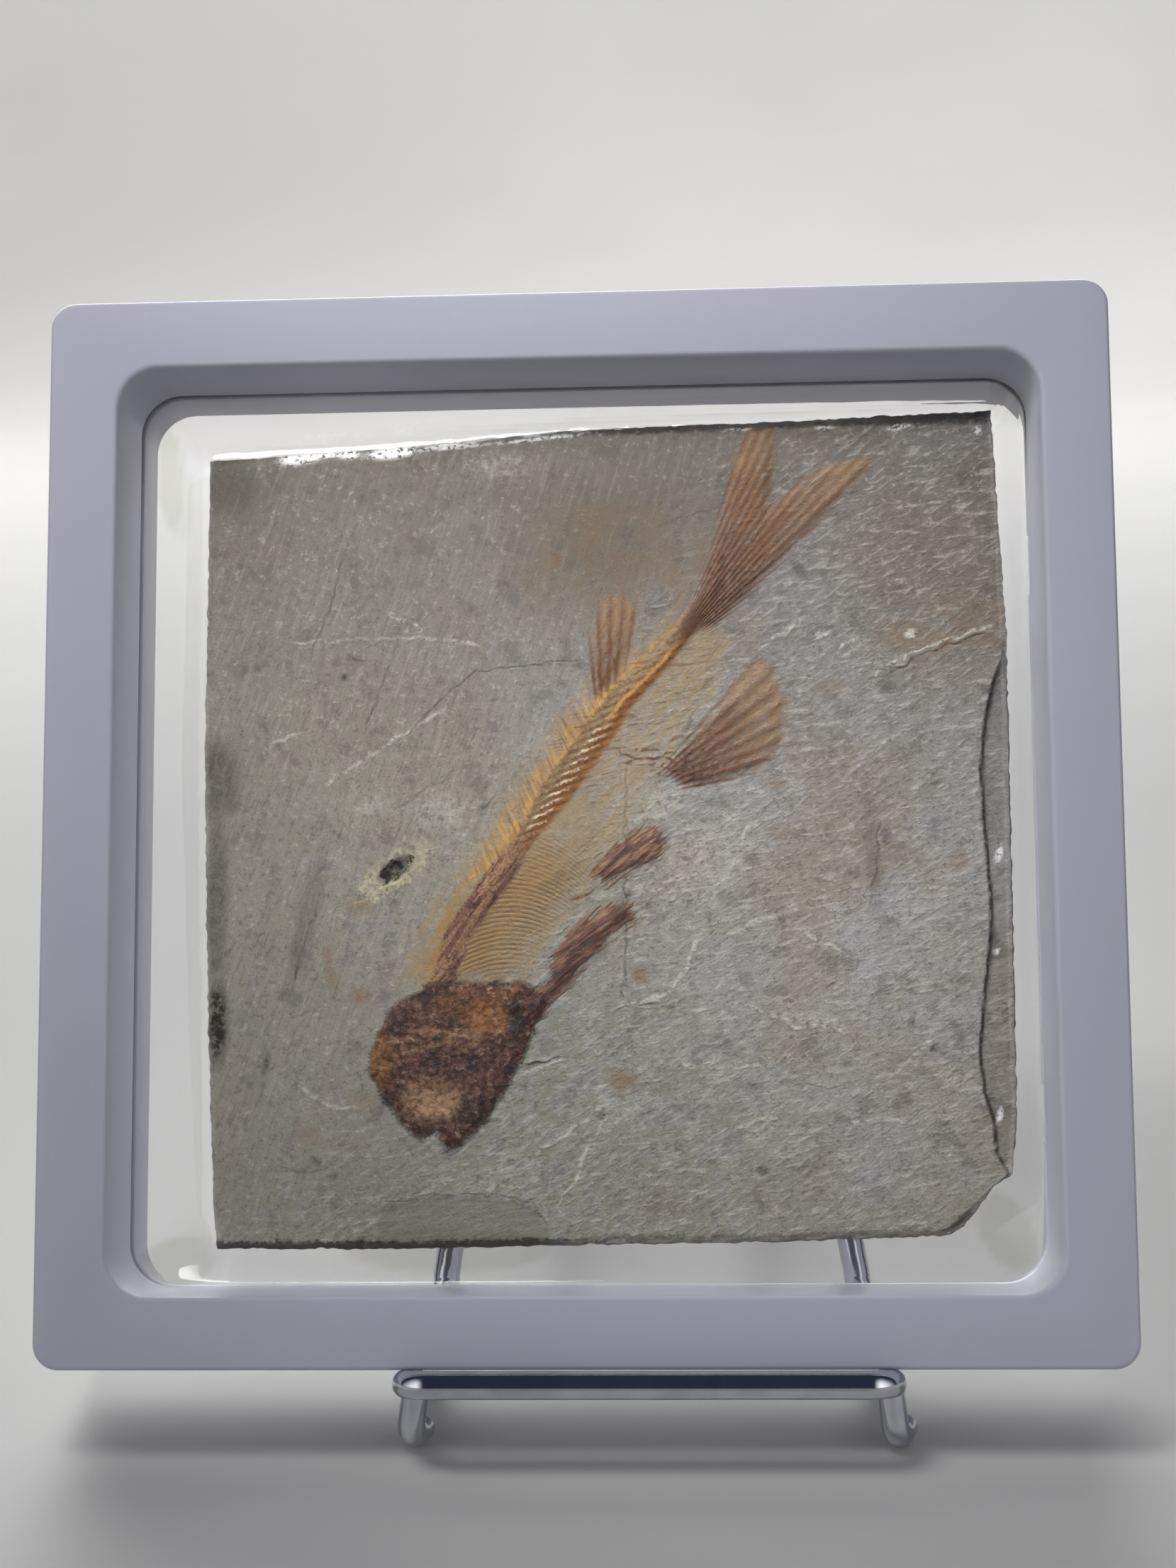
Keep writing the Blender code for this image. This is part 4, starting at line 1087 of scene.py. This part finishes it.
def buildFilm(name, side, over, finish, node):
    plan = filmPlan
    film = addGrid(plan["cells"], plan["cells"])
    points = readPoints(film.data)[:, :2] * plan["rimHalf"]
    # square corners drawn in to round ones
    middle = plan["rimHalf"] - plan["rimRadius"]
    past = np.clip(np.abs(points) - middle, 0.0, None)
    length = np.maximum(np.linalg.norm(past, axis=1), 1e-9)
    points -= np.sign(points) * past * (1.0 - past.max(axis=1) / length)[:, None]
    toStone = -insideBy(points, stoneOutline)
    away = 0.5 * (toStone + np.hypot(toStone, plan["crease"]))
    toRim = np.clip(plan["waist"] - np.abs(points).max(axis=1), 0.0, None)
    share = toRim / np.maximum(toRim + away, 1e-6)
    height = plan["rim"] + (over - plan["rim"]) * share
    # loose wrinkles that run from the stone's corners to the frame's
    shift = np.abs(points) - plan["cornerFrom"]
    corner = ramp(shift.min(axis=1), -5.0, 2.0) * share * (1.0 - share) * 4.0
    spread = np.abs(points) - plan["cornerTo"]
    spoke = np.sin(np.arctan2(spread[:, 1], spread[:, 0]) * plan["wrinkles"])
    height -= plan["slack"] * corner * (0.5 + 0.5 * spoke)
    edge = 0.16 * unevenness(points, 1.5, 51.0 + side) * ramp(np.abs(toStone), 1.8, 0.0)
    height += np.minimum(edge, 0.05) * ramp(share, 0.5, 1.0)
    writePoints(film.data, np.stack([points[:, 0], side * height, points[:, 1]], 1) * mm)
    patches = [ramp(oval(points, *patch), -0.10, 0.12) for patch in plan["clings"]]
    cling = film.data.attributes.new("cling", "FLOAT", "POINT")
    cling.data.foreach_set("value", np.maximum.reduce(patches).astype(np.float32))
    if side > 0:
        editMesh()
        pickAll()
        bpy.ops.mesh.flip_normals()
        leaveMesh()
    applyModifier(film, "filmWall", "SOLIDIFY", thickness=plan["thickness"] * mm, offset=1.0)
    smooth(50.0)
    film.visible_shadow = False
    return settle(film, name, finish, [node], leaned=True)


filmFinish = makeFilmFinish()
buildFilm("frontFilm", -1, filmPlan["overFront"], filmFinish, "front_film")
buildFilm("backFilm", 1, filmPlan["overBack"], filmFinish, "back_film")
print("films are stretched over both faces")


# frame: two moulded halves

railPlan = {
    "side": 110.0, "depth": 10.0, "windowFace": 95.6, "windowSeam": 94.4, "outerRadius": 2.6,
    "innerRadius": 4.4, "seam": 0.15, "rebateDepth": 0.3, "rebateWidth": 1.5, "rounding": 0.62,
    "cornerSteps": 14, "gatePip": (-0.2, -52.4), "pipRadius": 1.1, "pipTop": 0.2,
}


def makeRailFinish():
    finish, tree, shader = newFinish("lilac grey moulded plastic")
    place = addNode(tree, "TexCoord").outputs["Object"]
    cloud = soften(tree, grainOf(tree, place, 24.0), 0.3, 0.7)
    colour = paint(tree, tone(192, 192, 206), tone(196, 196, 210), cloud)
    dust = soften(tree, grainOf(tree, place, 700.0, 1.0), 0.66, 0.80, 0.0, 0.2)
    colour = paint(tree, colour, tone(205, 204, 208), dust)
    handled = grainOf(tree, place, 70.0)
    under = bumpOf(tree, grainOf(tree, place, 1500.0, 1.0), 0.06, 0.05)
    # the small round mark that moulding leaves on the lower rail
    pip = onFrame(railPlan["gatePip"][0], -railPlan["depth"], railPlan["gatePip"][1])
    toPip = addNode(tree, "VectorMath", {0: place, 1: pip}, operation="DISTANCE").outputs["Value"]
    dome = soften(tree, toPip, railPlan["pipRadius"] * mm, railPlan["pipTop"] * mm)
    feed(shader, {
        "Base Color": colour, "Roughness": soften(tree, handled, 0.3, 0.7, 0.32, 0.36),
        "Normal": bumpOf(tree, dome, 0.6, 0.25, Normal=under),
    })
    return finish


def addRoundedSquare(half, radius, steps):
    # in edit mode: a loop of edges round a square with bevelled corners, left selected
    bpy.ops.mesh.primitive_plane_add(size=2.0 * half * mm, rotation=(math.pi / 2.0, 0.0, 0.0))
    bpy.ops.mesh.bevel(offset=radius * mm, segments=steps, affect="VERTICES")
    bpy.ops.mesh.delete(type="ONLY_FACE")
    pickLoops(wire=True)


def moveRing(depth):
    bpy.ops.transform.translate(value=(0.0, depth * mm, 0.0))


def stretchRing(wide, deep):
    bpy.ops.transform.resize(value=(wide, deep, wide), center_override=(0.0, 0.0, 0.0))


def extrudeRing(depth, grow=1.0):
    bpy.ops.mesh.extrude_edges_move(TRANSFORM_OT_translate={"value": (0.0, depth * mm, 0.0)})
    if grow != 1.0:
        stretchRing(grow, 1.0)


def buildRail(name, side, finish, node):
    plan = railPlan
    steps = plan["cornerSteps"]
    outer, window, waist = plan["side"] / 2, plan["windowFace"] / 2, plan["windowSeam"] / 2
    floorOfRebate = plan["seam"] + plan["rebateDepth"]
    deselectAll()
    bpy.ops.mesh.primitive_plane_add(size=mm)
    rail = bpy.context.object
    editMesh()
    bpy.ops.mesh.select_mode(type="EDGE")
    pickAll()
    bpy.ops.mesh.delete(type="VERT")
    # outer wall, from the seam to the face
    addRoundedSquare(outer, plan["outerRadius"], steps)
    moveRing(-plan["seam"])
    extrudeRing(-(plan["depth"] - plan["seam"]))
    pickAll("DESELECT")
    # inner wall, from the face down its draft to the rebate, out along it and up to the seam
    addRoundedSquare(window, plan["innerRadius"], steps)
    moveRing(-plan["depth"])
    extrudeRing(plan["depth"] - floorOfRebate, waist / window)
    extrudeRing(0.0, (waist + plan["rebateWidth"]) / waist)
    extrudeRing(plan["rebateDepth"])
    for depth in (plan["depth"], plan["seam"]):
        pickEdges(rail, lambda end: abs(end.y + depth * mm) < 1e-5)
        bpy.ops.mesh.bridge_edge_loops()
    faceOutward()
    leaveMesh()
    roundEdges(rail, "moulded edge", plan["rounding"], 40.0, clamp=False)
    if side > 0:
        editMesh()
        pickAll()
        stretchRing(1.0, -1.0)
        faceOutward()
        leaveMesh()
    smooth(35.0)
    return settle(rail, name, finish, [node], leaned=True)


railFinish = makeRailFinish()
buildRail("frameFront", -1, railFinish, "frame_front")
rail = buildRail("frameBack", 1, railFinish, "frame_back")
print("frame halves:", len(rail.data.polygons), "faces each")


# easel: round wire bent cold, welded and plated

wirePlan = {
    "radius": 1.4, "sides": 8, "bendSteps": 10, "armLeft": -17.4, "armRight": 30.8,
    "heelLeft": -17.6, "heelRight": 30.2, "armDrop": 56.9, "barFront": 11.75, "barDrop": 56.25,
    "uprightBack": 11.9, "archTop": 10.0, "archMiddle": 6.3, "archHalf": 11.0, "legTopLeft": -16.7,
    "legTopRight": 30.6, "footLeft": -17.7, "footRight": 31.3, "legY": -25.1, "toeLength": 3.2,
    "toeTurn": math.radians(18.0), "rearFootY": 40.0, "rearFootHalf": 13.0, "rearTopHalf": 5.5,
    "bendBar": 2.6, "bendHeel": 2.8, "bendArch": 4.5, "bendToe": 2.2, "bendRear": 5.0,
    "endRounding": 0.35,
}


def onFloor(x, y, z=wirePlan["radius"]):
    return Vector((x, y + frameMiddle.y / mm, z))


def bentRoute(corners, radii, closed):
    steps = wirePlan["bendSteps"]
    count = len(corners)
    route = []
    for i, corner in enumerate(corners):
        if not closed and i in (0, count - 1):
            route.append(corner)
            continue
        back = (corners[i - 1] - corner).normalized()
        ahead = (corners[(i + 1) % count] - corner).normalized()
        half = back.angle(ahead) / 2
        centre = corner + (back + ahead).normalized() * radii[i] / math.sin(half)
        start = (corner + back * radii[i] / math.tan(half) - centre).normalized()
        end = (corner + ahead * radii[i] / math.tan(half) - centre).normalized()
        route += [centre + start.slerp(end, step / steps) * radii[i] for step in range(steps + 1)]
    return route


def bendWire(name, node, corners, radii, closed, finish):
    # a chain of points drawn by extruding one, then given the wire's thickness
    route = bentRoute(corners, radii, closed)
    deselectAll()
    bpy.ops.mesh.primitive_plane_add(size=mm)
    wire = bpy.context.object
    editMesh()
    bpy.ops.mesh.select_mode(type="VERT")
    pickAll()
    bpy.ops.mesh.merge(type="CENTER")
    bpy.ops.transform.translate(value=route[0] * mm)
    for here, there in zip(route, route[1:]):
        bpy.ops.mesh.extrude_vertices_move(TRANSFORM_OT_translate={"value": (there - here) * mm})
    if closed:
        leaveMesh()
        wire.data.vertices[0].select = True
        editMesh()
        bpy.ops.mesh.edge_face_add()
    leaveMesh()
    bpy.ops.object.convert(target="CURVE")
    wire = bpy.context.object
    wire.data.bevel_depth = wirePlan["radius"] * mm
    wire.data.bevel_resolution = wirePlan["sides"]
    wire.data.use_fill_caps = not closed
    bpy.ops.object.convert(target="MESH")
    wire = bpy.context.object
    if not closed:
        editMesh()
        pickAll()
        bpy.ops.mesh.remove_doubles(threshold=1e-6)
        faceOutward()
        leaveMesh()
        roundEdges(wire, "rounded end", wirePlan["endRounding"], 60.0)
    smooth(50.0)
    return settle(wire, name, finish, [node])


def makeWireFinish():
    finish, tree, shader = newFinish("bright plated wire")
    place = addNode(tree, "TexCoord").outputs["Object"]
    haze = soften(tree, grainOf(tree, place, 240.0), 0.3, 0.75)
    feed(shader, {
        "Base Color": paint(tree, tone(226, 228, 232), tone(206, 209, 216), haze),
        "Roughness": soften(tree, haze, 0.0, 1.0, 0.04, 0.10), "Metallic": 1.0,
        "Normal": bumpOf(tree, grainOf(tree, place, 420.0, 2.0), 0.05, 0.1),
    })
    return finish


def buildEasel(finish):
    p = wirePlan
    back, top = p["uprightBack"], p["archTop"]
    corners = [
        onFrame(p["armLeft"], -p["barFront"], -p["barDrop"]),
        onFrame(p["heelLeft"], back, -p["armDrop"]),
        onFrame(p["archMiddle"] - p["archHalf"], back, top),
        onFrame(p["archMiddle"] + p["archHalf"], back, top),
        onFrame(p["heelRight"], back, -p["armDrop"]),
        onFrame(p["armRight"], -p["barFront"], -p["barDrop"]),
    ]
    bends = [p["bend" + name] for name in ("Bar", "Heel", "Arch", "Arch", "Heel", "Bar")]
    bendWire("easelCradle", "easel_cradle", corners, bends, True, finish)
    ahead, aside = (p["toeLength"] * turn(p["toeTurn"]) for turn in (math.cos, math.sin))
    for side, arm, heel in (("Left", corners[0], corners[1]), ("Right", corners[-1], corners[-2])):
        x, foot = p["legTop" + side], p["foot" + side]
        joint = arm.lerp(heel, (onFloor(x, p["legY"]).y - arm.y) / (heel.y - arm.y))
        route = [
            Vector((x, joint.y, joint.z)), onFloor(foot, p["legY"]),
            onFloor(foot + aside, p["legY"] + ahead),
        ]
        node = "easel_leg_" + side.lower()
        bendWire("easelLeg" + side, node, route, [0.0, p["bendToe"], 0.0], False, finish)
    arch, foot = onFrame(p["archMiddle"], back, top), onFloor(p["archMiddle"], p["rearFootY"])
    high, low = Vector((p["rearTopHalf"], 0.0, 0.0)), Vector((p["rearFootHalf"], 0.0, 0.0))
    bends = [0.0, p["bendRear"], p["bendRear"], 0.0]
    route = [arch - high, foot - low, foot + low, arch + high]
    bendWire("easelRearLeg", "easel_rear_leg", route, bends, False, finish)


buildEasel(makeWireFinish())
